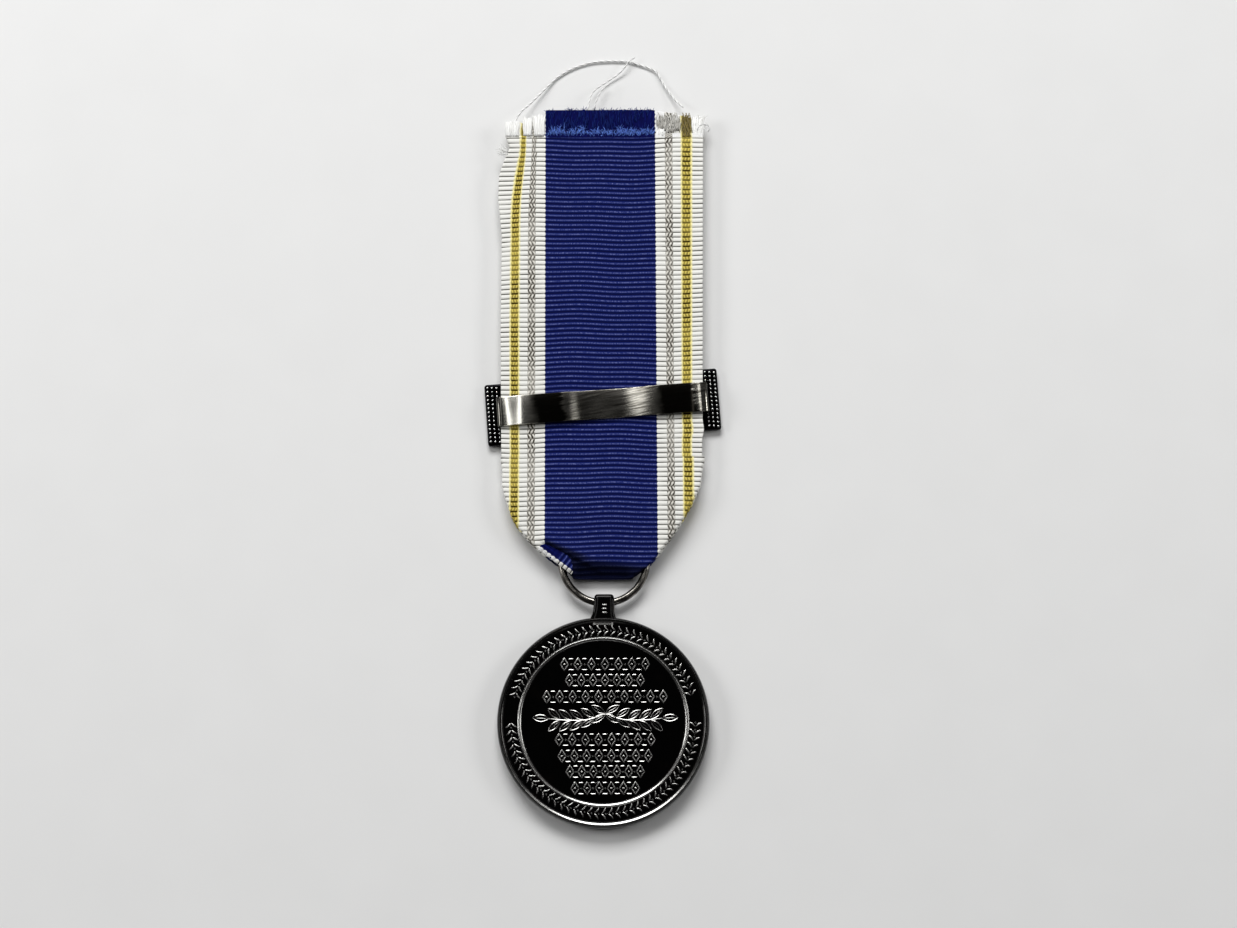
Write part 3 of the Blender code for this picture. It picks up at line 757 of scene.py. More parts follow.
def half_section(edge, up, folded):
    """One side of one row from middle to edge: across, inward, lean and cloth marks."""
    reach = float(edge_reach(edge, up))
    limit = min(reach - TURN, 16.9)
    inner = np.linspace(0.0, 1.0, 25)
    span = math.pi * folded
    hidden = CLOTH_HALF - limit
    bend = max(TURN * span, 0.02)
    bend = min(bend, hidden * 0.6)
    rest = hidden - bend
    room = max(0.25, reach - 8.3)
    shown = min(rest, room) if folded > 0.5 else rest
    marks = [limit * t for t in inner]
    across = [limit * t for t in inner]
    inward = [0.0 for _ in inner]
    lean = [0.0 for _ in inner]
    for step in range(1, 6):
        q = step / 5.0
        angle = span * q
        marks.append(limit + bend * q)
        across.append(limit + (TURN * math.sin(angle) if span > 0.05 else bend * q))
        inward.append(TURN * (1.0 - math.cos(angle)) if span > 0.05 else 0.0)
        lean.append(angle)
    start = across[-1]
    depth = inward[-1]
    for step in range(1, 5):
        q = step / 4.0
        marks.append(limit + bend + rest * q)
        across.append(start + math.cos(span) * shown * q)
        inward.append(depth + math.sin(span) * shown * q)
        lean.append(span)
    return np.array(across), np.array(inward), np.array(lean), np.array(marks)


def crease_side(x, up):
    """Distance from the pleat's crease line, positive on the disc's side."""
    run = CREASE_TO - CREASE_FROM
    run = run / np.linalg.norm(run)
    return (x - CREASE_FROM[0]) * run[1] - (up - CREASE_FROM[1]) * run[0]


def weave_ribbon(cloth):
    """The whole strip as one closed ribbed sheet, its sides turned in to the V."""
    marks_along = np.arange(0.0, PATH_LENGTH[-1] + 1e-6, RIB / 6.0)
    outer_rows = []
    inner_rows = []
    mark_rows = []
    for mark in marks_along:
        up = float(np.interp(mark, PATH_LENGTH, PATH[:, 0]))
        high = float(np.interp(mark, PATH_LENGTH, PATH[:, 1]))
        ahead = min(mark + 0.05, PATH_LENGTH[-1])
        behind = max(mark - 0.05, 0.0)
        ends = np.array([np.interp((behind, ahead), PATH_LENGTH, PATH[:, k]) for k in (0, 1)])
        run = ends[:, 1] - ends[:, 0]
        run = run / np.linalg.norm(run)
        out = np.array((0.0, -run[1], run[0])) * -1.0
        if mark > FOLD_MARK and out[2] < 0.0 or mark < FOLD_MARK and out[2] > 0.0:
            out = out * -1.0
        folded = float(1.0 - ease(*SIDES_OPEN, up))
        back = mark > FOLD_MARK
        sides = []
        for sign, edge in ((-1.0, LEFT_EDGE), (1.0, RIGHT_EDGE)):
            across, inward, lean, cloth_marks = half_section(edge, up, folded)
            reach = float(edge_reach(edge, up))
            beyond = np.clip(np.abs(across) - SIDE_FROM, 0.0, None)
            stretch = 1.0 if folded > 0.02 else max(0.2, (reach - SIDE_FROM) / SIDE_WIDTH)
            across = np.where(np.abs(across) > SIDE_FROM, SIDE_FROM + beyond * stretch, across)
            if back and sign < 0.0:
                top = float(ease(84.0, 107.0, up))
                seams = (11.5, SILVER_EDGE, WHITE_MIDDLE, GOLD_EDGE, CLOTH_HALF)
                lie = np.interp(cloth_marks, seams, (11.2, 12.1, 13.1, 13.95, reach))
                across = np.where(cloth_marks > 11.5, across * (1.0 - top) + lie * top, across)
            sides.append((sign * across, inward, sign * lean, sign * cloth_marks))
        left, right = sides
        x = np.concatenate((left[0][::-1], right[0][1:]))
        x = x + STRIPE_SHIFT * ease(17.9, 14.5, np.abs(x))
        inward = np.concatenate((left[1][::-1], right[1][1:]))
        lean = np.concatenate((left[2][::-1], right[2][1:]))
        marks = np.concatenate((left[3][::-1], right[3][1:]))
        end = back_end_at(marks) if back else front_end_at(marks)
        full = BACK_END if back else FRONT_END
        y = np.full_like(x, up)
        if up > END_ZONE:
            y = END_ZONE + (up - END_ZONE) * (end - END_ZONE) / (full - END_ZONE)
        along = mark + rib_wave(marks, mark)
        if back:
            woven = 1.0 - float(ease(0.0, 1.0, (up - BACK_RIBS_END) / FADE))
        else:
            woven = float(ease(FRONT_FRAY - FADE, FRONT_FRAY, mark))
        rise = RIB_RISE * crest_of(along) * woven + 0.03 * (1.0 - woven)
        centre = np.stack((x, y, np.full_like(x, high)), -1) - out * inward[:, None]
        if back:
            below = crease_side(x, y)
            roll = ease(0.25, -0.15, below) * np.exp(-((np.clip(-below, 0.0, None) / 2.6) ** 2))
            roll = roll * ease(-11.6, -9.4, x) * ease(1.5, -3.0, x) * (np.abs(lean) < 0.1)
            centre[:, 2] += 0.62 * roll * ease(25.0, 26.2, y)
            sag = ease(27.5, 25.2, y + 0.10 * x) * ease(5.4, 3.8, np.abs(x)) * (np.abs(lean) < 0.1)
            centre[:, 2] -= 0.95 * sag * ease(1.1, 2.3, high)
            corner = ease(96.0, 106.0, y) * ease(12.0, 16.5, -marks)
            centre[:, 2] += 0.55 * corner
            centre[:, 2] += 0.05 * np.sin(x * 0.33 + y * 0.21) * ease(60.0, 66.0, y)
        facing = np.stack((np.sin(lean), np.zeros_like(lean), np.zeros_like(lean)), -1)
        facing = facing + out[None] * np.cos(lean)[:, None]
        outer_rows.append(centre + facing * (THICK + rise)[:, None])
        inner_rows.append(centre - facing * (THICK + rise)[:, None])
        mark_rows.append(np.stack((marks, along), -1))
    strip = Form()
    strip.closed_sheet(np.array(outer_rows), np.array(inner_rows), np.array(mark_rows))
    made = strip.piece("folded_ribbon", cloth, "ribbon", "ribbon")


PLEAT_FROM = np.array((-11.15, 29.75))
PLEAT_TO = np.array((-5.35, 25.35))
PLEAT_DEPTH = 2.7
PLEAT_HEIGHT = 2.98
PLEAT_THICK = 0.12


def lay_pleat(cloth):
    """Small pleat at the lower left, where the side turns in along its own edge."""
    start = PLEAT_FROM
    stop = PLEAT_TO
    run = (stop - start) / np.linalg.norm(stop - start)
    inwards = np.array((-run[1], run[0]))
    length = float(np.linalg.norm(stop - start))
    rows = []
    marks = []
    for along in np.arange(0.0, length, RIB / 6.0):
        share = along / length
        deep = PLEAT_DEPTH * math.sin(math.pi * min(max(share * 0.93 + 0.07, 0.0), 1.0)) ** 0.6
        row = []
        mark_row = []
        for q in np.linspace(0.0, 1.0, 14):
            reach = deep * q
            spot = start + run * along + inwards * reach
            crest = crest_of(along)
            drop = 0.30 * (1.0 - ease(0.0, 0.5, reach)) + 0.30 * ease(0.85, 1.0, q)
            drop = drop + 0.22 * ease(0.8, 1.0, share)
            row.append((spot[0], spot[1], PLEAT_HEIGHT + PLEAT_THICK * crest - drop))
            mark_row.append((-(BLUE_HALF + 0.55) + reach, along))
        rows.append(row)
        marks.append(mark_row)
    top = np.array(rows)
    under = top.copy()
    under[:, :, 2] -= PLEAT_THICK
    patch = Form()
    patch.closed_sheet(top, under, np.array(marks))
    patch.piece("ribbon_pleat", cloth, "ribbon")


def add_fibres(form, dice, count, root, spread, aim, length, radius, droop=0.0, curl=0.6):
    """Loose fibres springing from a strip of roots."""
    for _ in range(count):
        base = np.array([dice.uniform(low, high) for low, high in root])
        heading = math.radians(dice.uniform(aim - spread, aim + spread))
        reach = dice.uniform(*length)
        bow = dice.uniform(-curl, curl)
        lift = dice.uniform(-0.15, 0.25)
        points = []
        for step in range(6):
            t = step / 5.0
            bent = heading + bow * t
            along = reach * t
            points.append(
                (
                    base[0] + math.sin(bent) * along,
                    base[1] + math.cos(bent) * along,
                    base[2] + lift * math.sin(math.pi * t) - droop * t * t,
                )
            )
        thick = radius * dice.uniform(0.7, 1.3)
        taper = np.interp(np.linspace(0, 1, 6), (0.0, 0.6, 1.0), (1.0, 0.9, 0.35))
        form.tube(points, thick * taper, sides=4, lot=dice.uniform(0.0, 1.0))


def add_yarn_ends(form, dice, across, root, top, high, radius, fan):
    """Fat soft yarn ends standing side by side, fanned a little at the top."""
    left, right = across
    count = max(2, int(round((right - left) / (radius * 1.35))))
    for index in range(count):
        share = (index + 0.5) / count
        x = left + (right - left) * share
        lean = (share - 0.5) * fan
        reach = top - root - 0.45 * (2.0 * share - 1.0) ** 2 + dice.uniform(-0.25, 0.1)
        t = np.linspace(0.0, 1.0, 12)
        route = np.stack(
            (
                x + lean * t * t + 0.05 * np.sin(t * 9.0 + index * 2.0),
                root + reach * t,
                high + 0.12 * np.sin(t * 3.1) + dice.uniform(-0.08, 0.08) - 0.25 * t * t,
            ),
            -1,
        )
        width = radius * np.interp(t, (0.0, 0.7, 0.9, 1.0), (0.9, 1.15, 0.95, 0.45))
        form.tube(route, width, sides=8, lot=dice.uniform(0.0, 1.0))


def fray_ends():
    """Loose ends where the ribbon is cut: blue, navy, white, grey and gold."""
    blue = yarn_fibre("loose_blue_yarn", (0.0015, 0.009, 0.16), (0.15, 0.31, 0.88), 0.3)
    navy = yarn_fibre("loose_navy_yarn", (0.0004, 0.002, 0.055), (0.010, 0.035, 0.24), 0.1)
    white = yarn_fibre("loose_white_yarn", (0.74, 0.74, 0.72), (0.93, 0.93, 0.91), 0.1)
    gold = yarn_fibre("loose_gold_yarn", (0.030, 0.022, 0.002), (0.30, 0.22, 0.035), 0.6)
    grey = yarn_fibre("loose_grey_yarn", (0.30, 0.29, 0.26), (0.72, 0.71, 0.67), 0.2)
    dice = np.random.default_rng(11)

    fringe = Form()
    for left in np.arange(-10.0, 8.8, 0.55):
        clump = ((left, left + 0.55), (104.35, 104.95), (2.25, 2.55))
        tall = dice.uniform(0.7, 2.3)
        add_fibres(fringe, dice, 12, clump, 14, dice.uniform(-22, 28), (0.5 * tall, tall), 0.06, 0.4)
    fringe.piece("fray_blue_fringe", blue, "ribbon")

    fuzz = Form()
    on_end = ((-10.0, 9.3), (108.7, 109.4), (1.6, 1.85))
    on_face = ((-9.9, 9.2), (105.4, 108.4), (1.9, 1.97))
    add_fibres(fuzz, dice, 150, on_end, 35, 0, (0.3, 1.0), 0.05, 0.2)
    add_fibres(fuzz, dice, 150, on_face, 8, 0, (0.8, 2.0), 0.05, 0.0, 0.2)
    fuzz.piece("fray_navy_fuzz", navy, "ribbon")

    tufts = Form()
    for across, root, top, high, radius, fan in (
        ((-16.9, -14.8), 104.2, 107.3, 2.95, 0.20, 0.5),
        ((-13.9, -12.5), 104.4, 108.0, 2.75, 0.18, 0.3),
        ((-12.0, -10.3), 104.4, 108.5, 2.6, 0.19, 0.5),
        ((9.7, 11.2), 104.4, 105.9, 2.35, 0.15, 0.2),
        ((16.1, 17.9), 104.2, 108.3, 2.3, 0.20, 0.7),
    ):
        add_yarn_ends(tufts, dice, across, root, top, high, radius, fan)
    hairs = (
        ((-17.0, -14.6), (104.5, 106.6), (2.85, 3.1), 22, 2, 22, (0.7, 1.5)),
        ((-13.9, -10.2), (105.0, 107.6), (2.6, 2.8), 26, 0, 16, (0.6, 1.3)),
        ((-17.5, -16.6), (100.8, 101.7), (2.7, 2.95), 34, -62, 22, (0.8, 1.9)),
        ((16.6, 18.0), (104.6, 107.8), (2.1, 2.5), 60, 20, 50, (0.6, 1.4)),
    )
    for across, up, high, count, aim, spread, length in hairs:
        add_fibres(tufts, dice, count, (across, up, high), spread, aim, length, 0.06, 0.3, 0.4)
    tufts.piece("fray_white_tufts", white, "ribbon")

    shaded = Form()
    below = ((9.7, 13.8), (105.3, 106.8), (1.95, 2.05))
    above = ((11.2, 12.6), (104.6, 105.4), (2.0, 2.3))
    add_fibres(shaded, dice, 90, below, 9, 0, (1.6, 2.6), 0.09, 0.25, 0.3)
    add_fibres(shaded, dice, 22, above, 10, 3, (1.2, 2.4), 0.08, 0.2, 0.5)
    shaded.piece("fray_grey_ends", grey, "ribbon")

    glitter = Form()
    for index in range(10):
        x = 14.25 + 0.16 * index
        top = 108.3 + 0.5 * math.sin(index * 2.1)
        steps = np.linspace(0.0, 1.0, 22)
        route = np.stack(
            (
                x + 0.10 * np.sin(steps * 15.0 + index * 1.7),
                104.2 + steps * (top - 104.2),
                2.55 + 0.06 * np.sin(steps * 12.0 + index) - 0.30 * steps,
            ),
            -1,
        )
        glitter.tube(route, 0.085, sides=6, lot=0.37 * index)
    glitter.piece("fray_gold_yarns", gold, "ribbon")


# ---------------------------------------------------------------- struck disc


def rounded(corners, radius, steps=4):
    """Round the corners of an open profile, with a close point either side of each."""
    corners = [np.array(corner, float) for corner in corners]
    made = [corners[0]]
    for before, corner, after in zip(corners, corners[1:], corners[2:]):
        back = before - corner
        ahead = after - corner
        reach = min(radius, 0.42 * np.linalg.norm(back), 0.42 * np.linalg.norm(ahead))
        start = corner + back / np.linalg.norm(back) * reach
        stop = corner + ahead / np.linalg.norm(ahead) * reach
        made.append(start + (start - corner) * 0.12)
        for t in np.linspace(0.0, 1.0, steps + 1):
            made.append((1 - t) ** 2 * start + 2 * t * (1 - t) * corner + t * t * stop)
        made.append(stop + (stop - corner) * 0.12)
    made.append(corners[-1])
    return made


# Heights of the disc's floors, the middle of the band inside its rim, and how far the
# ornament of each face stands off its floor
FIELD = 2.5
BAND = 2.62
OBVERSE_FLOOR = 0.5
BAND_MIDDLE = 15.62
REVERSE_RISE = 0.14
OBVERSE_RISE = -0.16

# Rows of ornament on the reverse: height of each above the middle, and its width
GRAIN_ROWS = (
    (9.83, 15.1), (7.07, 13.4), (4.25, 21.1), (-3.08, 16.9), (-5.84, 15.9), (-8.5, 13.2), (-11.3, 11.5),
)
GRAIN_WIDTH = 1.3
GRAIN_HEIGHT = 2.1
GRAIN_PITCH = 1.12
SPINDLE_WIDTH = 0.95
ROWS_SHIFT = 0.3

# Laurel leaves and star
LEAF_LENGTH = 2.75
LEAF_WIDTH = 0.95
TIP_LEAF_WIDTH = 1.15
WREATH_RADIUS = 10.6
STAR_TIP = 6.0
STAR_NOTCH = 2.45


def stroke(form, points, radius, base, height, joined=False):
    """A raised line struck on the disc; a negative height stands below a hidden face."""
    points = np.asarray(points, float)
    count = len(points)
    if joined:
        width = np.full(count, radius)
    else:
        ends = np.minimum(np.arange(count), np.arange(count)[::-1]) / max(1.0, 0.22 * count)
        width = radius * np.interp(ends, (0.0, 1.0), (0.45, 1.0))
    route = np.column_stack((points, np.full(count, base)))
    form.tube(route, width, sides=8, flat=abs(height) / radius, joined=joined)


def place_on(x, y, turn):
    """Turn a little drawing and put it on the disc's face."""
    c, s = math.cos(turn), math.sin(turn)
    return lambda points: [(x + c * u - s * v, y + s * u + c * v) for u, v in points]


def bowed(start, stop, bow, count=7):
    """A line bowed sideways by a share of its length."""
    start, stop = np.array(start, float), np.array(stop, float)
    along = stop - start
    side = np.array((-along[1], along[0])) * bow
    t = np.linspace(0.0, 1.0, count)[:, None]
    return [tuple(p) for p in start + along * t + side * 4 * t * (1 - t)]


def lozenge_mark(form, put, width, height, base, rise):
    """Open lozenge with a bead in its middle."""
    tall, wide = height / 2.0, width / 2.0
    corners = [(0, tall), (wide, 0), (0, -tall), (-wide, 0)]
    sides = []
    for a, b in zip(corners, corners[1:] + corners[:1]):
        sides += bowed(a, b, 0.0, 4)[:-1]
    stroke(form, put(sides), 0.17, base, rise, joined=True)
    x, y = put([(0.0, 0.0)])[0]
    form.dome((x, y, base), 0.2, rise)


def bead_mark(form, put, spots, radius, base, rise):
    """A few round beads set in a little figure."""
    for x, y in put(spots):
        form.dome((x, y, base), radius, rise, sides=8)


def spindle_mark(form, put, width, height, base, rise):
    """A bead between two short bars."""
    for side in (1.0, -1.0):
        up = side * (height / 2.0 - 0.15)
        bar = bowed((-width / 2.0, up), (width / 2.0, up), side * 0.06, 6)
        stroke(form, put(bar), 0.125, base, rise * 0.85)
    bead_mark(form, put, [(0.0, 0.0)], 0.17, base, rise)


def chevron_mark(form, put, width, height, base, rise):
    """Two slim leaves meeting in a point, with a bead behind them."""
    tall = height / 2.0
    for side in (1.0, -1.0):
        arm = bowed((-width / 2.0, side * tall), (width / 2.0, side * 0.08), side * -0.10, 6)
        stroke(form, put(arm), 0.17, base, rise)
    bead_mark(form, put, [(-width * 0.52, 0.0)], 0.17, base, rise)


def leaf_mark(form, put, length, width, base, rise):
    """Laurel leaf: two bowed edges meeting at the tip and a midrib."""
    half = width / length / 2.0
    stroke(form, put(bowed((0, 0), (length, 0), half, 9)), 0.115, base, rise * 0.8)
    stroke(form, put(bowed((0, 0), (length, 0), -half, 9)), 0.115, base, rise * 0.8)
    stroke(form, put(bowed((0.12 * length, 0), (0.80 * length, 0), 0.0, 6)), 0.075, base, rise * 0.5)


def laurel_spray(form, side, base, rise):
    """One sprig out from the middle: paired leaves along a stem and a leaf at its tip."""
    middle = 0.35
    stem = ((0.0, 1.3), (3.0, 0.35), (6.5, 0.25), (9.6, 0.55))
    route = smooth_route([(middle + side * out, up, 0.0) for out, up in stem], 0.5)[:, :2]
    stroke(form, route, 0.12, base, rise * 0.8)
    for index in range(5):
        spot = route[int((index + 0.12) / 5.0 * (len(route) - 1))]
        for above in (1.0, -1.0):
            lean = math.radians(30.0 + 3.0 * index)
            turn = above * lean if side > 0 else math.pi - above * lean
            put = place_on(spot[0], spot[1] + 0.10 * above, turn)
            leaf_mark(form, put, LEAF_LENGTH, LEAF_WIDTH, base, rise)
    tip = route[-1]
    put = place_on(tip[0], tip[1], 0.05 if side > 0 else math.pi - 0.05)
    leaf_mark(form, put, LEAF_LENGTH, TIP_LEAF_WIDTH, base, rise)


def strike_reverse(form):
    """Generic ornament of the face that shows."""
    rise = REVERSE_RISE
    for middle, width in GRAIN_ROWS:
        count = int(round(width / GRAIN_PITCH))
        count += 1 - count % 2
        pitch = (width - GRAIN_WIDTH) / (count - 1)
        for index in range(count):
            put = place_on(ROWS_SHIFT + (index - (count - 1) / 2.0) * pitch, middle, 0.0)
            if index % 2 == 0:
                lozenge_mark(form, put, GRAIN_WIDTH, GRAIN_HEIGHT, FIELD, rise)
            else:
                spindle_mark(form, put, SPINDLE_WIDTH, GRAIN_HEIGHT, FIELD, rise)
    for side in (1.0, -1.0):
        laurel_spray(form, side, FIELD, rise)
    for start, stop in ((15.5, 165.0), (180.0, 360.0)):
        count = int(round((stop - start) / 4.4))
        for index in range(count):
            angle = math.radians(start + (stop - start) * (index + 0.5) / count)
            x, y = BAND_MIDDLE * math.cos(angle), BAND_MIDDLE * math.sin(angle)
            put = place_on(x, y, angle - math.pi / 2.0)
            chevron_mark(form, put, 0.72, 2.0, BAND, rise)
    for up in (18.72, 19.4, 20.05):
        stroke(form, bowed((-0.2, up), (0.75, up), 0.0, 6), 0.17, 2.73, 0.12)


def strike_obverse(form):
    """Hidden face: laurel wreath round a plain star, of the maker's own design."""
    base = OBVERSE_FLOOR
    rise = OBVERSE_RISE
    for index in range(26):
        side = 1.0 if index % 2 else -1.0
        angle = math.radians(-90.0 + side * (16.0 + 11.8 * (index // 2)))
        for reach, lean in ((10.4, 98.0), (11.0, 62.0)):
            turn = angle + side * math.radians(lean)
            put = place_on(reach * math.cos(angle), reach * math.sin(angle), turn)
            leaf_mark(form, put, 2.3, LEAF_WIDTH, base, rise)
    stems = [math.radians(a) for a in np.linspace(-78.0, 72.0, 40)]
    for side in (1.0, -1.0):
        line = [(side * WREATH_RADIUS * math.cos(a), WREATH_RADIUS * math.sin(a)) for a in stems]
        stroke(form, line, 0.16, base, rise)
    tips = []
    for index in range(10):
        reach = STAR_TIP if index % 2 == 0 else STAR_NOTCH
        angle = math.radians(90.0 + 36.0 * index)
        tips.append((reach * math.cos(angle), reach * math.sin(angle)))
    low = np.array([(x, y, 0.56) for x, y in tips])
    edge = np.array([(x * 0.985, y * 0.985, 0.36) for x, y in tips])
    crown = np.array([(x * 0.03, y * 0.03, 0.13) for x, y in tips])
    form.net([low, edge, crown], join_columns=True, caps=True)
    for index in range(40):
        angle = math.radians(9.0 * index)
        spot = (15.0 * math.cos(angle), 15.0 * math.sin(angle), base)
        form.dome(spot, 0.42, -0.3, sides=9, steps=4)


# Up from the disc's middle, half width and half thickness
LUG_STATIONS = (
    (16.6, 2.3, 1.22), (17.6, 2.3, 1.24), (18.1, 2.12, 1.25), (18.6, 1.93, 1.25),
    (19.2, 1.84, 1.25), (20.2, 1.80, 1.25), (21.0, 1.76, 1.24), (21.5, 1.70, 1.20),
    (21.82, 1.58, 1.08), (21.98, 1.38, 0.86), (22.04, 1.10, 0.60),
)
LUG_BORE = 0.96


def lug_tab():
    """The lug as a rounded tab and the tool that cross-drills it for the ring."""
    rows = []
    turn = np.linspace(0.0, 2.0 * math.pi, 40, endpoint=False)
    for up, wide, deep in LUG_STATIONS:
        c, s = np.cos(turn), np.sin(turn)
        x = np.sign(c) * np.abs(c) ** 0.34 * wide + 0.18 * ease(17.5, 20.0, up)
        z = np.sign(s) * np.abs(s) ** 0.34 * deep + DISC_THICK / 2.0
        rows.append(np.stack((x, np.full_like(x, up), z), -1))
    tab = Form()
    tab.net(rows, join_columns=True, caps=True)
    mesh = bpy.data.meshes.new("lug_tab")
    mesh.from_pydata(np.vstack(tab.points).tolist(), [], tab.faces)
    hold = bmesh.new()
    hold.from_mesh(mesh)
    bmesh.ops.recalc_face_normals(hold, faces=hold.faces)
    hold.to_mesh(mesh)
    hold.free()
    lug = bpy.data.objects.new("lug_tab", mesh)
    bpy.context.scene.collection.objects.link(lug)
    drill = bmesh.new()
    lie = Matrix.Translation((0.0, RING_CENTRE - RING_RADIUS, RING_HEIGHT))
    lie = lie @ Matrix.Rotation(math.pi / 2, 4, "Y")
    bmesh.ops.create_cone(
        drill, cap_ends=True, segments=40, radius1=LUG_BORE, radius2=LUG_BORE, depth=8.0, matrix=lie
    )
    bit = bpy.data.meshes.new("drill")
    drill.to_mesh(bit)
    drill.free()
    tool = bpy.data.objects.new("drill", bit)
    bpy.context.scene.collection.objects.link(tool)
    bore = lug.modifiers.new("bore", "BOOLEAN")
    bore.operation = "DIFFERENCE"
    bore.object = tool
    return lug, tool


def strike_disc():
    """The struck disc with both faces and its lug, in one piece."""
    profile = rounded(
        (
            (0.01, OBVERSE_FLOOR), (16.25, OBVERSE_FLOOR), (16.75, 0.0), (17.65, 0.0), (18.0, 0.35),
            (18.0, 2.3), (17.8, 2.78), (17.62, 2.98), (17.2, 2.84), (17.08, BAND), (14.52, BAND),
            (14.38, 2.75), (14.26, 2.76), (13.98, 2.64), (13.88, FIELD), (0.01, FIELD),
        ),
        0.1,
    )
    turn = np.linspace(0.0, 2.0 * math.pi, 240, endpoint=False)
    rows = []
    for radius, high in profile:
        rows.append(np.stack((radius * np.cos(turn), radius * np.sin(turn), np.full_like(turn, high)), -1))
    disc = Form()
    disc.net(rows, join_columns=True, caps=True)
    strike_reverse(disc)
    strike_obverse(disc)
    lug, tool = lug_tab()
    disc.take(lug)
    bpy.data.objects.remove(tool, do_unlink=True)
    disc.piece("struck_disc", blackened_nickel(), "disc", "medal_disc", crease=38)


# ---------------------------------------------------------------- ring and clasp


def bend_ring():
    """Round wire closed into a ring, its butt joint hidden between the ribbon's layers."""
    turn = np.linspace(0.0, 2.0 * math.pi, 180, endpoint=False)
    x = RING_RADIUS * np.sin(turn) + 0.2
    y = RING_CENTRE - RING_RADIUS * np.cos(turn)
    route = np.stack((x, y, np.full_like(turn, RING_HEIGHT)), -1)
    joint = np.exp(-(((turn - math.pi * 0.97) / 0.006) ** 2)) * 0.05
    ring = Form()
    ring.tube(route, WIRE * (1.0 - joint), sides=28, joined=True)
    ring.piece("suspension_ring_wire", polished_wire(), "ring", "suspension_ring")


def on_clasp(points):
    """Clasp drawing to its turned place on the ribbon."""
    points = np.asarray(points, float)
    c, s = math.cos(CLASP_TURN), math.sin(CLASP_TURN)
    x = points[..., 0] * c - points[..., 1] * s
    y = points[..., 0] * s + points[..., 1] * c + CLASP_CENTRE
    return np.stack((x, y, points[..., 2]), -1)


def plate_outline(half_x, half_y, radius, steps):
    """Outline of a plate with rounded corners, each turned in so many steps."""
    outline = []
    for sign_x, sign_y, start in ((1, 1, 0), (-1, 1, 90), (-1, -1, 180), (1, -1, 270)):
        for step in range(steps + 1):
            angle = math.radians(start + 90.0 / steps * step)
            x = sign_x * (half_x - radius) + radius * math.cos(angle)
            y = sign_y * (half_y - radius) + radius * math.sin(angle)
            outline.append((x, y))
    return np.array(outline)


BAR_HALF_LENGTH = 20.3
BAR_HALF_WIDTH = 5.5

# The bar's section from its recessed face round to its back: inset and height
BAR_SECTION = (
    (1.75, 0.3), (1.5, 0.02), (0.25, 0.0), (0.08, 0.07), (0.0, 0.25), (0.0, 0.95), (0.08, 1.12),
    (0.25, 1.2), (0.6, 1.2),
)
BEAD_PITCH = 0.74
BEAD_COLUMN = 0.79
BEAD_RADIUS = 0.21
RIDGE_REACH = 17.6
RIDGE_PITCH = 0.27


def press_bar():
    """Front plate of the clasp: a ridged, recessed face and beads on its back's ends."""
    half_x = BAR_HALF_LENGTH
    half_y = BAR_HALF_WIDTH
    outline = plate_outline(half_x, half_y, 0.5, 4)
    rows = []
    for inset, high in BAR_SECTION:
        scale = np.array(((half_x - inset) / half_x, (half_y - inset) / half_y))
        ring = outline * scale
        rows.append(np.column_stack((ring, np.full(len(ring), high))))
    bar = Form()
    bar.net([on_clasp(row) for row in rows], join_columns=True, caps=True)
    for side in (-1.0, 1.0):
        for column in range(3):
            for index in range(14):
                x = side * (18.2 + BEAD_COLUMN * column)
                y = (index - 6.5) * BEAD_PITCH - side * 0.09 * (column - 1)
                bar.dome(on_clasp((x, y, 1.19)), BEAD_RADIUS, 0.17, sides=9, steps=4)
    # These beads lie inside the metal of the face's border, so they don't show
    for index in range(53):
        for side in (-1.0, 1.0):
            bar.dome(on_clasp(((index - 26.0) * BEAD_PITCH, side * 4.95, 0.02)), 0.3, 0.02, sides=8)
    for index in range(26):
        y = (index - 12.5) * RIDGE_PITCH
        bar.tube([on_clasp((end, y, 0.3)) for end in (-RIDGE_REACH, RIDGE_REACH)], 0.08, sides=6)
    bar.piece("clasp_front_bar", beaded_nickel(), "clasp", "clasp_bar", crease=40)


STRAP_HALF_LENGTH = 18.4
STRAP_WIDTH = 5.2
STRAP_THICK = 0.4
STRAP_BEND = 0.75
STRAP_FOOT = 1.25
STRAP_EDGE = 0.09


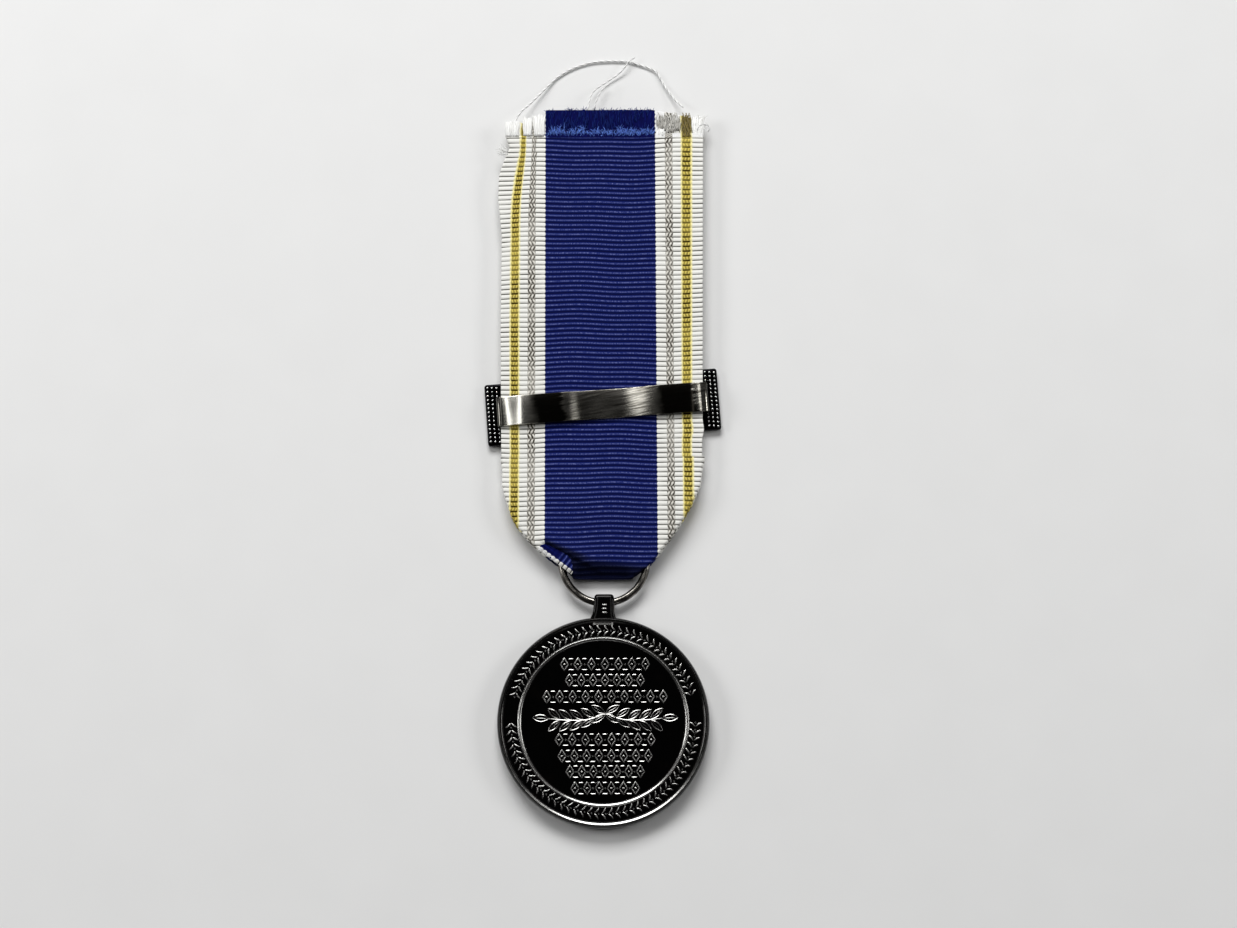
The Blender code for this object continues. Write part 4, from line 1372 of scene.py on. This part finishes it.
def bend_strap():
    """Brushed strap over the ribbon, bent down at both ends to the back of the bar."""
    thick = STRAP_THICK
    low = STRAP_FOOT
    top = STRAP_TOP - thick / 2.0
    reach = STRAP_HALF_LENGTH - thick / 2.0
    inner = STRAP_BEND - thick / 2.0
    stops = [(-reach, low), (-reach, top - inner - 0.2)]
    for step in range(7):
        angle = math.pi / 2.0 * step / 6.0
        stops.append((-reach + inner - inner * math.cos(angle), top - inner + inner * math.sin(angle)))
    across = np.linspace(-reach + inner + 0.3, reach - inner - 0.3, 90)
    # Low waves along the strap, which pull its reflections out of straight
    swell = (
        0.30 * ease(-17.2, -13.6, across)
        - 0.22 * ease(-6.6, -3.4, across)
        - 0.24 * ease(-3.8, 3.0, across)
        + 0.50 * ease(2.6, 9.8, across)
        - 0.20 * ease(15.2, 17.2, across)
    )
    stops += list(zip(across, top + swell))
    for step in range(7):
        angle = math.pi / 2.0 * step / 6.0
        stops.append((reach - inner + inner * math.sin(angle), top - inner + inner * math.cos(angle)))
    stops += [(reach, top - inner - 0.2), (reach, low)]
    line = np.array(stops)
    run = np.gradient(line, axis=0)
    run /= np.linalg.norm(run, axis=1)[:, None]
    normal = np.stack((-run[:, 1], run[:, 0]), -1)
    length = np.concatenate(((0.0,), np.cumsum(np.linalg.norm(np.diff(line, axis=0), axis=1))))
    section = plate_outline(STRAP_WIDTH / 2, thick / 2, STRAP_EDGE, 3)
    rows = []
    marks = []
    for (x, z), (nx, nz), mark in zip(line, normal, length):
        row = []
        for y, lift in section:
            row.append((x + nx * lift, y, z + nz * lift))
        rows.append(on_clasp(row))
        marks.append([(y, mark - length[-1] / 2.0) for y, _ in section])
    strap = Form()
    strap.net(rows, np.array(marks).reshape(-1, 2), join_columns=True, caps=True)
    strap.piece("clasp_rear_strap", brushed_nickel(), "clasp", "clasp_strap", crease=40)


# ---------------------------------------------------------------- table and light


def set_table():
    """Plain pale table under the medal."""
    paint = Finish("pale_table")
    x, y, z = paint.solid_marks()
    mottle = paint.speckle(x * 0.08, y * 0.08, detail=2.0)
    colour = paint.blend((0.74, 0.74, 0.735), (0.77, 0.77, 0.765), mottle)
    paint.set(Base_Color=colour, Roughness=0.85, Specular_IOR_Level=0.15)
    half = 2.5
    mesh = bpy.data.meshes.new("table_top")
    corners = ((-half, -half), (half, -half), (half, half), (-half, half))
    mesh.from_pydata([(a, b, -0.0001) for a, b in corners], [], [(0, 1, 2, 3)])
    mesh.materials.append(paint.material)
    table = bpy.data.objects.new("table_top", mesh)
    bpy.context.scene.collection.objects.link(table)


def soft_box(name, place, aim, size, power):
    """A rectangular studio light aimed at a point."""
    data = bpy.data.lights.new(name, "AREA")
    data.shape = "RECTANGLE"
    data.size, data.size_y = size
    data.energy = power
    lamp = bpy.data.objects.new(name, data)
    lamp.location = place
    lamp.rotation_mode = "QUATERNION"
    lamp.rotation_quaternion = (Vector(aim) - Vector(place)).to_track_quat("-Z", "Y")
    bpy.context.scene.collection.objects.link(lamp)
    return lamp


def set_light():
    """Key beyond the ribbon's end, softer sides, a faint fill, and two cards overhead."""
    middle = (0.0, 0.0, 0.0)
    soft_box("key_light", (-0.08, 0.62, 0.60), middle, (0.60, 0.34), 7.0)
    soft_box("left_light", (-0.66, 0.12, 0.42), middle, (0.30, 0.22), 1.9)
    soft_box("right_light", (0.66, 0.12, 0.42), middle, (0.30, 0.22), 1.4)
    soft_box("fill_light", (0.10, -0.80, 0.35), middle, (0.6, 0.25), 0.35)
    for x in (-0.185, 0.185):
        card = soft_box("overhead_card", (x, 0.22, 0.85), (x, 0.22, 0.0), (0.06, 0.55), 0.30)
        # Straight down, long side along the medal
        card.rotation_quaternion = (1.0, 0.0, 0.0, 0.0)
    sky = bpy.data.worlds.new("studio_air")
    sky.use_nodes = True
    sky.node_tree.nodes["Background"].inputs["Color"].default_value = (1.0, 1.0, 1.0, 1.0)
    sky.node_tree.nodes["Background"].inputs["Strength"].default_value = 0.045
    bpy.context.scene.world = sky


# ---------------------------------------------------------------- assembly

set_camera()
lay_threads()
ribbon_cloth = woven_cloth(FRONT_FRAY, BACK_FRAY)
weave_ribbon(ribbon_cloth)
lay_pleat(ribbon_cloth)
fray_ends()
strike_disc()
bend_ring()
press_bar()
bend_strap()
set_table()
set_light()
bpy.context.scene.view_settings.view_transform = "Standard"
